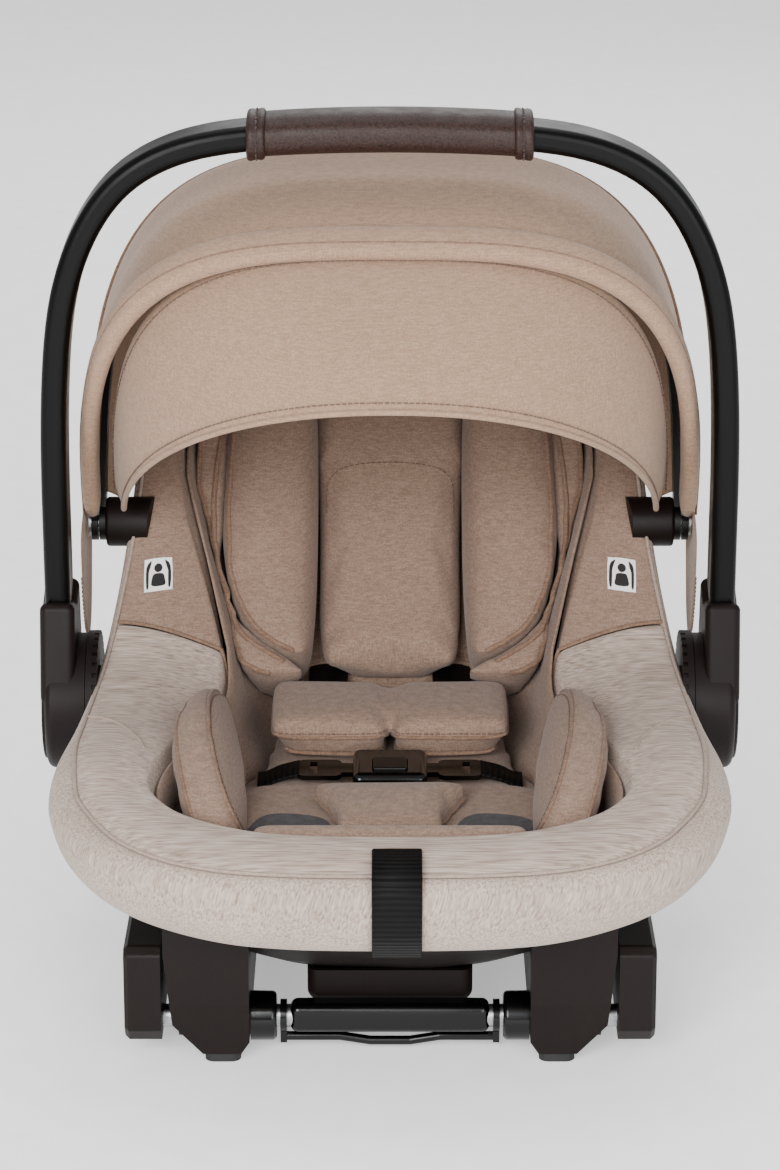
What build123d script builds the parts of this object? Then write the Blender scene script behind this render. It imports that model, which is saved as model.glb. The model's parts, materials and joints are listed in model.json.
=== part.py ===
"""Infant car seat: shell, covers, cushions, harness, carry handle, canopy and rigid lower anchors.

Millimetres, +Z up, +Y towards the head end. Everything is drawn with Y = 0 at the handle
pivots and moved along Y on export, so that the origin is under the middle of the seat's box.
"""
from build123d import *
import os
from functools import lru_cache
from math import sin, cos, radians, degrees, hypot, atan2

# ---- driving dimensions: shell and rim -------------------------------------------------------
SEAT_FRONT = 290.0      # handle pivot to the front of the bumper
SEAT_REAR = 322.0       # handle pivot to the back of the head end
NOSE_HALF = 202.0       # half width at the widest place of the bumper
WAIST_HALF = 182.0      # half width at the handle pivots
SHOULDER_HALF = 165.0   # half width at the canopy pivots
HEAD_HALF = 150.0       # half width at the head end
TUB_FLOOR = 46.0        # height of the underside of the tub
RIM_FRONT_Z = 153.0     # top of the rim at the front
RIM_ARM_Z = 172.0       # top of the rim along the arms
RIM_HEAD_Z = 331.0      # top of the rim at the head end
COVER_DEPTH = 12.0      # the padded rim cover stands this far proud of the shell
COVER_TOP = 7.0         # thickness of the cover over the rim
WALL = 4.0              # shell wall
LINING = 3.0            # thickness of the fabric lining
SEAM_Y = 6.0            # the grey arms meet the taupe side panels here
GAP = 0.6               # clearance between soft pieces

# ---- handle ----------------------------------------------------------------------------------
HANDLE_Z = 155.0        # height of the handle pivots
HANDLE_RISE = 369.0     # pivot to the centreline of the tube at the top
HANDLE_HALF = 209.0     # centreline of the tube beside the seat
TUBE_THICK = 16.0       # tube, measured away from the pivot
TUBE_DEPTH = 36.0       # tube, measured along Y
GRIP_THICK = 26.0
GRIP_DEPTH = 45.0
GRIP_LENGTH = 152.0
CUFF_LENGTH = 12.0
HUB_RADIUS = 43.0
HUB_INNER = 191.5       # inner face of the hub
HUB_OUTER = 219.0       # outer face of the hub
BOSS_NECK = 22.0        # radius of the fixed boss where it passes through the cover
PIN_RADIUS = 10.0
BUTTON_RADIUS = 17.0
RUNNING_FIT = 0.05      # radial clearance of a pin that turns in its hole
SLIDE_FIT = 0.4         # clearance round a button

# ---- canopy ----------------------------------------------------------------------------------
CANOPY_Y = 70.0         # canopy pivot
CANOPY_Z = 252.0
CANOPY_HALF = 197.0     # half width of the canopy outside the fabric
CANOPY_RISE = 253.0     # pivot to the top of the front bow
BOW_TILT = -29.0        # degrees from upright, negative to the foot end
MID_TILT = 20.0
REAR_TILT = 73.0
VISOR_TILT = -58.0
FABRIC = 2.5
BOW_THICK = 4.0
BOW_WIDTH = 16.0
MOUNT_RADIUS = 16.0
RIVET_RADIUS = 5.0

# ---- base ------------------------------------------------------------------------------------
LEG_OUT = 135.0         # outer face of a base rail at the top
LEG_IN = 84.0           # inner face of a base rail
LEG_FRONT = 213.0       # handle pivot to the front face of the rails
LEG_REAR = 175.0        # handle pivot to the rear end of the rails
LEG_TOP = 78.0
RAIL_TOP = 112.0        # the rails run up into the underside of the tub
RAIL_WALL = 3.5
DRAIN_RADIUS = 4.0
FOOT_HEIGHT = 6.0       # rubber foot pads under the rails
ROD_Y = -190.0          # the latch arms turn about this rod
ROD_Z = 22.0
ROD_RADIUS = 7.0
BUSHING_RADIUS = 15.0
ARM_IN = 136.5          # inner face of a latch arm
ARM_WIDTH = 22.0
ARM_LENGTH = 150.0      # rod to the mouth of the claw
ANCHOR_HALF = 140.0     # the two anchors of a vehicle seat stand 280 apart
CLAW_THICK = 3.0

# ---- cushions and harness --------------------------------------------------------------------
RECLINE = 46.0          # slope of the seat back, degrees from level
BACK_Y = 30.0           # foot of the head support
BACK_Z = 150.0
FLOOR_PAD = 26.0        # thickness of the seat pad
WEB = 1.8               # thickness of the webbing
WEB_WIDE = 29.0
WEB_NARROW = 25.0
PAD_WIDTH = 74.0
BUCKLE_WIDTH = 46.0

EAR = RIM_HEAD_Z + 60.0                    # above everything that is cut from the tub
HALF_SPACE = 600.0                         # size of the blocks used for cutting
HEAD_TUCK = 9.0                            # the cover ends this far short of the back of the tub
STRAP_PROUD = 3.0                          # the adjuster strap stands this far in front of the bumper
HUB_Y = (SEAT_FRONT + STRAP_PROUD - SEAT_REAR + HEAD_TUCK) / 2    # where Y = 0 lands when exported


# ---- helpers ---------------------------------------------------------------------------------
def save(shape, name):
    """Move a piece into the exported frame and write it."""
    moved = Pos(0, HUB_Y, 0) * shape
    solids = moved.solids()
    whole = solids[0] if len(solids) == 1 else Compound(children=list(solids))
    export_step(whole, f"parts/{name}.step")


def save_pair(shape, name):
    """Write a piece and its mirror image: left is +X, right is -X."""
    save(shape, name + "_left")
    save(mirror(shape, about=Plane.YZ), name + "_right")


def both(shape):
    """A piece together with its mirror image."""
    return Compound(children=list(shape.solids()) + list(mirror(shape, about=Plane.YZ).solids()))


def block(x0, x1, y0, y1, z0, z1):
    """Box between two corners."""
    centre = Pos((x0 + x1) / 2, (y0 + y1) / 2, (z0 + z1) / 2)
    return centre * Box(abs(x1 - x0), abs(y1 - y0), abs(z1 - z0))


def soft_block(x0, x1, y0, y1, z0, z1, radius):
    """Box between two corners with every edge rounded."""
    box = block(x0, x1, y0, y1, z0, z1)
    return fillet(box.edges(), radius)


def disc_x(radius, x0, x1, y, z):
    """Cylinder along X."""
    return Pos((x0 + x1) / 2, y, z) * Rot(0, 90, 0) * Cylinder(radius, abs(x1 - x0))


def shifted(points, distance):
    """An open line of 2-D points moved to its left by a distance."""
    moved = []
    for i, (a, b) in enumerate(points):
        before = points[max(i - 1, 0)]
        after = points[min(i + 1, len(points) - 1)]
        along = (after[0] - before[0], after[1] - before[1])
        size = hypot(*along)
        moved.append((a - along[1] / size * distance, b + along[0] / size * distance))
    return moved


def side_cut(points, top):
    """Everything above (or below) a line of (y, z) points, right across the seat."""
    line = [Vector(0, y, z) for y, z in points]
    edge = Spline(*line)
    lid = Polyline(line[-1], Vector(0, line[-1].Y, top), Vector(0, line[0].Y, top), line[0])
    face = make_face([edge] + list(lid.edges()))
    return extrude(face, amount=HALF_SPACE / 2, dir=(1, 0, 0), both=True)


# ---- the tub: every shell, foam and cover surface comes from these ---------------------------
def tub_wire(z, side, front, rear):
    """Plan outline of the tub at one height, drawn in by an inset at the side and each end."""
    y_front = -SEAT_FRONT + front
    y_rear = SEAT_REAR - rear
    squeeze = (y_rear - y_front) / (SEAT_REAR + SEAT_FRONT)
    nose = NOSE_HALF - side
    waist = WAIST_HALF - side
    shoulder = SHOULDER_HALF - side
    head = HEAD_HALF - side
    half = [
        (nose * 0.50, -SEAT_FRONT + 7),
        (nose * 0.82, -SEAT_FRONT + 40),
        (nose * 0.97, -SEAT_FRONT + 84),
        (nose, -SEAT_FRONT + 130),
        (waist + 12, -85),
        (waist, 0),
        (shoulder, CANOPY_Y + 4),
        (shoulder - 8, (CANOPY_Y + SEAT_REAR) / 2),
        (head * 0.93, SEAT_REAR - 62),
        (head * 0.62, SEAT_REAR - 16),
    ]
    right = [Vector(x, y_front + (y + SEAT_FRONT) * squeeze, z) for x, y in half]
    left = [Vector(-p.X, p.Y, z) for p in reversed(right)]
    loop = [Vector(0, y_front, z)] + right + [Vector(0, y_rear, z)] + left
    return Wire([Spline(*loop, periodic=True)])


@lru_cache(maxsize=None)
def tub(inset=0.0, lift=0.0):
    """Solid inside the tub's surface, drawn in evenly by an inset; lift raises its underside."""
    levels = [
        (TUB_FLOOR, 96, 104, 176),
        (58, 80, 82, 146),
        (74, 69, 60, 122),
        (88, 56, 40, 104),
        (98, 38, 22, 92),
        (110, 22, 11, 80),
        (124, 11, 5, 64),
        (142, 4, 1, 44),
        (RIM_ARM_Z - 4, 0, 0, 22),
        (205, 0, 0, 6),
        (240, 0, 0, 1),
        (270, 0, 0, 6),
        (300, 0, 0, 16),
        (RIM_HEAD_Z, 0, 0, 29),
        (EAR, 0, 0, 66),
    ]
    wires = []
    for z, side, front, rear in levels:
        height = z + lift if z == TUB_FLOOR else z
        wires.append(tub_wire(height, side + inset, front + inset, rear + inset))
    return Solid.make_loft(wires, ruled=True)


def rim_points():
    """Side view of the top of the rim, from the foot end to the head end."""
    rise = RIM_HEAD_Z - RIM_ARM_Z
    return [
        (-SEAT_FRONT - 30, RIM_FRONT_Z - 6),
        (-SEAT_FRONT + 25, RIM_FRONT_Z + 1),
        (-215, RIM_ARM_Z - 9),
        (-150, RIM_ARM_Z),
        (-75, RIM_ARM_Z + 1),
        (-30, RIM_ARM_Z + 6),
        (4, RIM_ARM_Z + 19),
        (34, RIM_ARM_Z + 0.30 * rise),
        (CANOPY_Y - 8, RIM_ARM_Z + 0.51 * rise),
        (CANOPY_Y + 20, RIM_ARM_Z + 0.69 * rise),
        (CANOPY_Y + 60, RIM_ARM_Z + 0.82 * rise),
        (190, RIM_ARM_Z + 0.92 * rise),
        (SEAT_REAR - 60, RIM_HEAD_Z - 3),
        (SEAT_REAR + 40, RIM_HEAD_Z),
    ]


@lru_cache(maxsize=None)
def above_rim(depth=0.0):
    """Everything above the rim, or above a line a depth under it."""
    return side_cut(shifted(rim_points(), -depth), EAR + 80)


@lru_cache(maxsize=None)
def tub_to_rim(inset, depth, lift=0.0):
    """The tub drawn in by an inset and cut off a depth under the rim."""
    return tub(inset, lift) - above_rim(depth)


@lru_cache(maxsize=None)
def cavity(inset=0.0):
    """The space for the cushions, drawn in evenly by an inset."""
    levels = [
        (76, 104, 104, 296),
        (96, 90, 84, 276),
        (118, 76, 68, 255),
        (144, 64, 56, 229),
        (RIM_ARM_Z, 58, 50, 202),
        (215, 47, 46, 160),
        (262, 28, 44, 114),
        (EAR, 16, 40, 30),
    ]
    wires = []
    for z, side, front, rear in levels:
        raised = z + inset if z == levels[0][0] else z
        wires.append(tub_wire(raised, side + inset, front + inset, rear + inset))
    return Solid.make_loft(wires, ruled=True)


def skirt_cut():
    """Everything under the lower edge of the rim cover."""
    edge = [
        (-SEAT_FRONT - 30, 97),
        (-SEAT_FRONT + 30, 98),
        (-190, 106),
        (-90, 116),
        (0, 120),
        (60, 140),
        (130, 190),
        (210, 242),
        (SEAT_REAR + 40, 282),
    ]
    return side_cut(edge, -80)


# ---- shell, covers and foam ------------------------------------------------------------------
def strap_slots():
    """Slots for the shoulder straps through the cushions, the foam and the shell."""
    x = PAD_IN + PAD_WIDTH / 2
    half = WEB_NARROW / 2 + 3
    return both(block(x - half, x + half, BACK_Y - 22, SEAT_REAR + 20, BACK_Z - 2, BACK_Z + 9))


def shell():
    outer = tub_to_rim(COVER_DEPTH + 0.4, COVER_TOP + 0.4)
    inner = tub(COVER_DEPTH + 0.4 + WALL, WALL)
    body = outer - inner
    body -= strap_slots()
    body -= hub_axis_hole()
    body -= adjuster_hole()
    return body


def hub_axis_hole():
    """Holes for the hub pins, right through the tub's sides."""
    return disc_x(PIN_RADIUS, 0, HALF_SPACE / 2, 0, HANDLE_Z) + disc_x(PIN_RADIUS, -HALF_SPACE / 2, 0, 0, HANDLE_Z)


def adjuster_hole():
    """Slot through the front wall for the harness adjuster."""
    half = WEB_WIDE / 2 + 6
    return block(4 - half, 4 + half, -SEAT_FRONT, -SEAT_FRONT + 62, 112, 134)


def foam_liner():
    outer = tub_to_rim(COVER_DEPTH + WALL + 1.2, COVER_TOP + 0.6, WALL + 1)
    body = outer - cavity(-0.2)
    body -= strap_slots()
    body -= disc_x(PIN_RADIUS + 3, 0, HALF_SPACE / 2, 0, HANDLE_Z)
    body -= disc_x(PIN_RADIUS + 3, -HALF_SPACE / 2, 0, 0, HANDLE_Z)
    body -= adjuster_space()
    return body


def adjuster_space():
    """Room in the foam for the adjuster housing behind the front wall."""
    half = WEB_WIDE / 2 + 8
    return block(4 - half, 4 + half, -SEAT_FRONT, -SEAT_FRONT + 60, 104, 180)


def rim_cover():
    """Padded wall round the outside of the shell, and the padded top of the bumper and arms."""
    wall = tub() - above_rim() - skirt_cut()
    wall -= tub(COVER_DEPTH, -2)
    wall -= disc_x(BOSS_NECK + 1.5, -HALF_SPACE / 2, HALF_SPACE / 2, 0, HANDLE_Z)
    wall -= both(disc_x(HUB_RADIUS + 3, HUB_INNER - 8.5, HALF_SPACE / 2, 0, HANDLE_Z))
    wall -= disc_x(MOUNT_RADIUS + 1.5, -HALF_SPACE / 2, HALF_SPACE / 2, CANOPY_Y, CANOPY_Z)
    return Compound(children=[largest(wall), largest(rim_top(True))])


def rim_top(arms):
    """Padded top of the rim: round the bumper and the arms, or round the head end."""
    top = tub(COVER_DEPTH + GAP / 2) - above_rim(0.2)
    front = block(-HALF_SPACE, HALF_SPACE, -HALF_SPACE, SEAM_Y - GAP / 2, 0, EAR)
    rear = block(-HALF_SPACE, HALF_SPACE, SEAM_Y + GAP / 2, HALF_SPACE, 0, EAR)
    top &= front if arms else rear
    top -= under_rim(COVER_TOP)
    top -= cavity(-0.2)
    if arms:
        half = WEB_WIDE / 2 + 1.5
        top -= block(4 - half, 4 + half, -SEAT_FRONT + 24, -SEAT_FRONT + 29, 130, 180)
    return top


def under_rim(depth):
    """Everything under a line a depth under the rim."""
    return side_cut(shifted(rim_points(), -depth), -80)


def seat_lining():
    lining = cavity(0.3) - cavity(LINING)
    lining -= above_rim(0)
    lining -= strap_slots()
    return lining


def side_panels():
    """Padded taupe top of the rim beside and behind the head."""
    return without_slivers(rim_top(False))


# ---- base rails --------------------------------------------------------------------------------
def rail():
    """Base rail on the left: hollow, cut to the tub, with a drain hole in its inner face."""
    outline = [
        (LEG_IN, RAIL_TOP),
        (LEG_IN, 14),
        (LEG_IN + 5, FOOT_HEIGHT),
        (LEG_OUT - 23, FOOT_HEIGHT),
        (LEG_OUT - 5, 26),
        (LEG_OUT, LEG_TOP - 6),
        (LEG_OUT, RAIL_TOP),
    ]
    body = rail_prism(outline, 0) & rail_side(0)
    body -= tub(COVER_DEPTH + 0.2)
    hollow = rail_prism(outline, RAIL_WALL) & rail_side(RAIL_WALL)
    hollow -= tub(COVER_DEPTH + 0.2 - RAIL_WALL)
    body -= largest(hollow)
    body += disc_x(ROD_RADIUS + 5, LEG_IN + 1, LEG_OUT - 8, ROD_Y, ROD_Z)
    body -= disc_x(ROD_RADIUS + RUNNING_FIT, 0, HALF_SPACE / 2, ROD_Y, ROD_Z)
    body -= disc_x(BUSHING_RADIUS - 4, LEG_IN - 2, LEG_IN + 6, ROD_Y, ROD_Z)
    body -= disc_x(DRAIN_RADIUS, LEG_IN - 2, LEG_IN + 10, 0, ROD_Z)
    return largest(body)


def largest(shape):
    """The biggest solid of a shape, without loose slivers."""
    return max(shape.solids(), key=lambda solid: solid.volume)


def rail_prism(outline, inset):
    """The rail's cross-section along the whole seat, drawn in by a wall."""
    mid = (LEG_IN + LEG_OUT) / 2
    width = (LEG_OUT - LEG_IN) / 2
    share = (width - inset) / width
    points = []
    for x, z in outline:
        height = z - inset if z == RAIL_TOP else z + inset
        points.append(Vector(mid + (x - mid) * share, 0, height))
    face = make_face(Polyline(*points, close=True).edges())
    return extrude(face, amount=HALF_SPACE, dir=(0, 1, 0), both=True)


def rail_side(inset):
    """Side view of a rail: upright nose, flat sole, heel that rises to the tub."""
    nose = -LEG_FRONT + inset
    heel = LEG_REAR - inset
    sole = FOOT_HEIGHT + inset
    top = RAIL_TOP - inset
    corners = [(nose - 3, top), (nose - 3, 40), (nose + 2, sole), (heel - 75, sole), (heel - 26, sole + 10),
               (heel, 44), (heel - 2, 64 - inset), (heel - 30, 84 - inset), (40, top)]
    points = [Vector(0, y, z) for y, z in corners]
    face = make_face(Polyline(*points, close=True).edges())
    return extrude(face, amount=HALF_SPACE / 2, dir=(1, 0, 0), both=True)


def foot_pads():
    """Rubber pads on the sole of one rail, flush with its edges."""
    x0 = LEG_IN + 5.5
    x1 = LEG_OUT - 24
    front = block(x0, x1, -LEG_FRONT + 4, -LEG_FRONT + 110, 0, FOOT_HEIGHT)
    rear = block(x0, x1, LEG_REAR - 150, LEG_REAR - 78, 0, FOOT_HEIGHT)
    front = fillet(front.edges().filter_by(Axis.Z), 6)
    rear = fillet(rear.edges().filter_by(Axis.Z), 6)
    return Compound(children=list(front.solids()) + list(rear.solids()))


def harness_guard():
    """Tray under the tub that covers the harness webbing between the rails."""
    body = soft_block(-50, 50, -177, -60, 24, 60, 7)
    body -= block(-46, 46, -173, -64, 28, 80)
    body -= tub(COVER_DEPTH - 2.4)
    body -= block(-HALF_SPACE, HALF_SPACE, -300, 100, TUB_FLOOR - 0.4, 100)
    return largest(body)


# ---- rigid lower anchors ---------------------------------------------------------------------
def latch_arm():
    """Left latch arm: elbow at the rod, cover that narrows towards the claw, slot for the claw."""
    x0 = ARM_IN
    x1 = ARM_IN + ARM_WIDTH
    tip = ROD_Y + ARM_LENGTH
    front = -LEG_FRONT - 4
    corners = [(front + 9, 14), (front, 24), (front, 72), (front + 5, 77), (tip - 30, 70), (tip, 62),
               (tip, 33), (tip - 26, 28), (ROD_Y + 22, 14)]
    face = make_face(Polyline(*[Vector(x0, y, z) for y, z in corners], close=True).edges())
    arm = extrude(face, amount=ARM_WIDTH, dir=(1, 0, 0))
    arm = fillet(arm.edges().filter_by(Axis.X), 3.5)
    outer = arm.faces().sort_by(Axis.X)[-1]
    arm = chamfer(outer.edges(), 2.5)
    arm -= block(x0 + 1.5, x1 - 5, tip - 34, tip + 5, 34.5, 60.5)
    arm -= block(x0 + 1.5, x1 - 5, tip - 60, tip - 30, 39, 56)
    arm -= block(x0 - 1, x1 + 1, tip - 16, tip + 2, 43, 52)
    arm -= release_pocket(x1, tip)
    arm -= block(x1 - 1.2, x1 + 1, -LEG_FRONT + 14, tip - 34, 33.5, 34.7)
    arm -= disc_x(ROD_RADIUS, 0, x0 + 10, ROD_Y, ROD_Z)
    arm -= claw_pin()
    return arm


def release_pocket(x1, tip):
    return block(x1 - 4, x1 + 1, tip - 66, tip - 38, 41, 54)


def claw_pivot():
    return ROD_Y + ARM_LENGTH - 26, 40.0


def latch_claw():
    """Steel hook that closes over the anchor bar at the mouth of the arm."""
    x0 = ANCHOR_HALF - CLAW_THICK / 2
    x1 = ANCHOR_HALF + CLAW_THICK / 2
    tip = ROD_Y + ARM_LENGTH
    y, z = claw_pivot()
    corners = [(y - 4, z - 4), (tip - 3, 36), (tip - 2, 45), (tip - 5.5, 45), (tip - 6.5, 41.5),
               (tip - 13, 41.5), (y - 1, 46), (y - 4, 46)]
    face = make_face(Polyline(*[Vector(x0, a, b) for a, b in corners], close=True).edges())
    claw = extrude(face, amount=x1 - x0, dir=(1, 0, 0))
    claw -= disc_x(2 + RUNNING_FIT, x0 - 1, x1 + 1, y, z)
    return claw


def claw_pin():
    y, z = claw_pivot()
    return disc_x(2, ARM_IN + 1, ARM_IN + ARM_WIDTH - 1, y, z)


def release_button():
    """Slider on the outer face of an arm that opens the claw."""
    x1 = ARM_IN + ARM_WIDTH
    tip = ROD_Y + ARM_LENGTH
    body = block(x1 - 3.6, x1 - 0.2, tip - 57, tip - 38.5, 41.5, 53.5)
    grip = block(x1 - 0.2, x1 + 1.2, tip - 54, tip - 42, 43.5, 51.5)
    return body + grip


def torsion_rod():
    end = ARM_IN + 9.5
    return disc_x(ROD_RADIUS, -end, end, ROD_Y, ROD_Z)


def rod_sleeve():
    """Gloss sleeve on the rod between the bushings."""
    x = LEG_IN - 24
    sleeve = soft_block(-x, x, ROD_Y - 8.5, ROD_Y + 8.5, ROD_Z - 9, ROD_Z + 9.5, 5)
    return sleeve - disc_x(ROD_RADIUS + 0.01, -x - 5, x + 5, ROD_Y, ROD_Z)


def bushing():
    """Flanged bushing on the inner face of a rail."""
    ring = disc_x(BUSHING_RADIUS, LEG_IN - 16, LEG_IN - 0.2, ROD_Y, ROD_Z)
    ring = fillet(ring.edges().sort_by(Axis.X)[0], 3)
    ring += disc_x(BUSHING_RADIUS - 4.2, LEG_IN - 1, LEG_IN + 5.5, ROD_Y, ROD_Z)
    return ring - disc_x(ROD_RADIUS + RUNNING_FIT, 0, LEG_IN + 20, ROD_Y, ROD_Z)


def release_bar():
    """Thin bar under the sleeve with a dip in the middle, on two lugs that turn on the rod."""
    x = LEG_IN - 20
    drop = ROD_Z - 13.5
    dip = 3.0
    path = Polyline((-x, ROD_Y, drop), (-30, ROD_Y, drop), (-12, ROD_Y, drop - dip), (12, ROD_Y, drop - dip),
                    (30, ROD_Y, drop), (x, ROD_Y, drop))
    profile = Plane(origin=(-x, ROD_Y, drop), z_dir=(1, 0, 0)) * Circle(2.8)
    bar = sweep(profile, path=path, transition=Transition.ROUND)
    for side in (-1, 1):
        lug = block(side * x - 2, side * x + 2, ROD_Y - 4, ROD_Y + 4, drop - 2.8, ROD_Z)
        lug += disc_x(ROD_RADIUS + 3, side * x - 2, side * x + 2, ROD_Y, ROD_Z)
        lug -= disc_x(ROD_RADIUS + RUNNING_FIT, side * x - 5, side * x + 5, ROD_Y, ROD_Z)
        bar += lug
    return bar


# ---- handle ----------------------------------------------------------------------------------
def handle_half_line():
    """Centreline of the handle on +X, from the hub to the top, as (x, z)."""
    r = HANDLE_RISE
    x = HANDLE_HALF
    return [(x, HANDLE_Z + 0.13 * r), (x, HANDLE_Z + 0.30 * r), (x, HANDLE_Z + 0.45 * r),
            (x - 2.5, HANDLE_Z + 0.61 * r), (x - 8, HANDLE_Z + 0.72 * r), (x - 22, HANDLE_Z + 0.83 * r),
            (x - 45, HANDLE_Z + 0.915 * r), (x - 78, HANDLE_Z + 0.967 * r), (x - 125, HANDLE_Z + 0.992 * r)]


def handle_band(thick, depth):
    """Band along the centreline: thick away from the pivot, depth along Y."""
    half = handle_half_line()
    line = half + [(0, HANDLE_Z + HANDLE_RISE)] + [(-x, z) for x, z in reversed(half)]
    outer = [Vector(x, 0, z) for x, z in shifted(line, -thick / 2)]
    inner = [Vector(x, 0, z) for x, z in shifted(line, thick / 2)]
    edges = [Spline(*outer), Line(outer[-1], inner[-1]), Spline(*inner), Line(inner[0], outer[0])]
    return extrude(make_face(edges), amount=depth / 2, dir=(0, 1, 0), both=True)


def handle_tube():
    band = handle_band(TUBE_THICK, TUBE_DEPTH)
    corners = [e for e in band.edges() if e.length > HANDLE_RISE]
    return fillet(corners, 5.5)


def handle_grip():
    half = GRIP_LENGTH / 2
    grip = handle_band(GRIP_THICK, GRIP_DEPTH) & block(-half, half, -60, 60, HANDLE_Z, HANDLE_Z + 600)
    long_edges = [e for e in grip.edges() if e.length > GRIP_LENGTH * 0.9]
    grip = fillet(long_edges, 9)
    return grip - handle_band(TUBE_THICK + 0.02, TUBE_DEPTH + 0.02)


def grip_cuffs():
    """Raised rings at both ends of the grip."""
    end = GRIP_LENGTH / 2
    ring = handle_band(GRIP_THICK + 3, GRIP_DEPTH + 3)
    ring &= block(end + 0.2, end + 0.2 + CUFF_LENGTH, -60, 60, HANDLE_Z, HANDLE_Z + 600)
    long_edges = [e for e in ring.edges() if abs(e.length - CUFF_LENGTH) < 1.5]
    ring = fillet(long_edges, 8)
    ring -= handle_band(TUBE_THICK + 0.02, TUBE_DEPTH + 0.02)
    return both(ring)


def handle_hub():
    """Left hub: round housing with a socket for the tube, and a well for the push button."""
    hub = disc_x(HUB_RADIUS, HUB_INNER, HUB_OUTER - 2, 0, HANDLE_Z)
    hub = fillet(hub.edges().sort_by(Axis.X)[-1], 5)
    top = HANDLE_Z + 76
    x0 = HANDLE_HALF - 11.5
    x1 = HANDLE_HALF + 10.5
    corners = [(-HUB_RADIUS + 4, HANDLE_Z + 8), (-25, top - 3), (0, top - 9), (25, top), (HUB_RADIUS - 4, HANDLE_Z + 8)]
    face = make_face(Polyline(*[Vector(x0, y, z) for y, z in corners], close=True).edges())
    socket = extrude(face, amount=x1 - x0, dir=(1, 0, 0))
    socket = fillet(socket.edges(), 5)
    hub += socket
    hub -= handle_band(TUBE_THICK + 0.02, TUBE_DEPTH + 0.02)
    hub -= disc_x(BUTTON_RADIUS + SLIDE_FIT, HUB_OUTER - 16, HUB_OUTER + 5, 0, HANDLE_Z)
    hub -= disc_x(PIN_RADIUS + RUNNING_FIT, 0, HALF_SPACE / 2, 0, HANDLE_Z)
    hub -= disc_x(HUB_RADIUS - 5.9, HUB_OUTER - 1.8, HUB_OUTER + 5, 0, HANDLE_Z)
    return hub


def hub_cap():
    """Thin ring plate on the outer face of the hub, round the button."""
    ring = disc_x(HUB_RADIUS - 6, HUB_OUTER - 1.8, HUB_OUTER, 0, HANDLE_Z)
    ring = fillet(ring.edges().sort_by(Axis.X)[-1], 1)
    return ring - disc_x(BUTTON_RADIUS + SLIDE_FIT, HUB_OUTER - 20, HUB_OUTER + 5, 0, HANDLE_Z)


def handle_button():
    face_x = HUB_OUTER + 0.8
    button = disc_x(BUTTON_RADIUS, face_x - 8, face_x, 0, HANDLE_Z)
    button = fillet(button.edges().sort_by(Axis.X)[-1], 1.5)
    return button


def button_spring():
    """Wave spring behind the button, drawn at its pressed height."""
    x0 = HUB_OUTER - 15.8
    ring = disc_x(BUTTON_RADIUS - 3, x0, x0 + 1.8, 0, HANDLE_Z)
    return ring - disc_x(BUTTON_RADIUS - 5, x0 - 5, x0 + 5, 0, HANDLE_Z)


def hub_boss():
    """Fixed boss: neck through the cover, and a flange with teeth that the hub locks to."""
    neck_x = WAIST_HALF - COVER_DEPTH - 6
    flange = disc_x(HUB_RADIUS + 1.5, HUB_INNER - 7.5, HUB_INNER - 0.5, 0, HANDLE_Z)
    teeth = 36
    for i in range(teeth):
        turn = 360 / teeth * i
        notch = Pos(HUB_INNER - 6.5, 0, HANDLE_Z) * Rot(turn, 0, 0) * Pos(0, 0, HUB_RADIUS + 1.5) * Box(4, 3, 4)
        flange -= notch
    neck = disc_x(BOSS_NECK, neck_x, HUB_INNER - 7, 0, HANDLE_Z)
    boss = flange + neck
    boss -= tub(COVER_DEPTH + 0.2)
    boss -= disc_x(PIN_RADIUS, 0, HALF_SPACE / 2, 0, HANDLE_Z)
    return largest(boss)


def hub_pin():
    """Steel pin that the hub turns on, with a head inside the shell."""
    head_x = WAIST_HALF - COVER_DEPTH - WALL - 9
    pin = disc_x(PIN_RADIUS, head_x + 3, HUB_OUTER - 16.2, 0, HANDLE_Z)
    return pin


# ---- canopy ----------------------------------------------------------------------------------
def canopy_rise(tilt):
    """Pivot to the top of the canopy at a tilt: lower behind the front bow, to pass the handle."""
    drop = 20.0 * sin(radians(min(max(tilt - BOW_TILT, 0), 90))) ** 2
    swell = 11.0 * max(0.0, (tilt - 40) / (REAR_TILT - 40)) ** 2
    return CANOPY_RISE - drop + swell


def canopy_half(tilt):
    """Half width of the canopy at a tilt: it narrows towards the head end."""
    back = max(0.0, (tilt - MID_TILT) / (REAR_TILT - MID_TILT))
    return CANOPY_HALF - 2 * (tilt > 0) * min(tilt / 20, 1) - 23 * back ** 1.5


def arch(tilt, inset, half, rise, power, start, count=7):
    """Points of one rib of the canopy, from the left side over the top to the right."""
    a = half - inset
    b = rise - inset
    first = degrees(atan2((start / b) ** (power / 2), 1))
    angles = [first + (90 - first) * (i / count) for i in range(count)]
    line = []
    for t in angles:
        x = a * cos(radians(t)) ** (2 / power)
        rho = b * sin(radians(t)) ** (2 / power)
        line.append((x, rho))
    line = line + [(0, b)] + [(-x, rho) for x, rho in reversed(line)]
    s = sin(radians(tilt))
    c = cos(radians(tilt))
    return [Vector(x, CANOPY_Y + rho * s, CANOPY_Z + rho * c) for x, rho in line]


def arch_wire(tilt, near, far, half, rise, power, start):
    """Closed outline of a thin arch between two insets from the canopy's surface."""
    outer = arch(tilt, near, half, rise, power, start)
    inner = arch(tilt, far, half, rise, power, start)
    edges = [Spline(*outer), Line(outer[-1], inner[-1]), Spline(*reversed(inner)), Line(inner[0], outer[0])]
    return Wire(edges)


def canopy_sheet(tilts, near, far, start):
    """Sheet of the canopy through ribs at several tilts."""
    wires = []
    for tilt in tilts:
        wires.append(arch_wire(tilt, near, far, canopy_half(tilt), canopy_rise(tilt), 3.3, start))
    return Solid.make_loft(wires)


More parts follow.
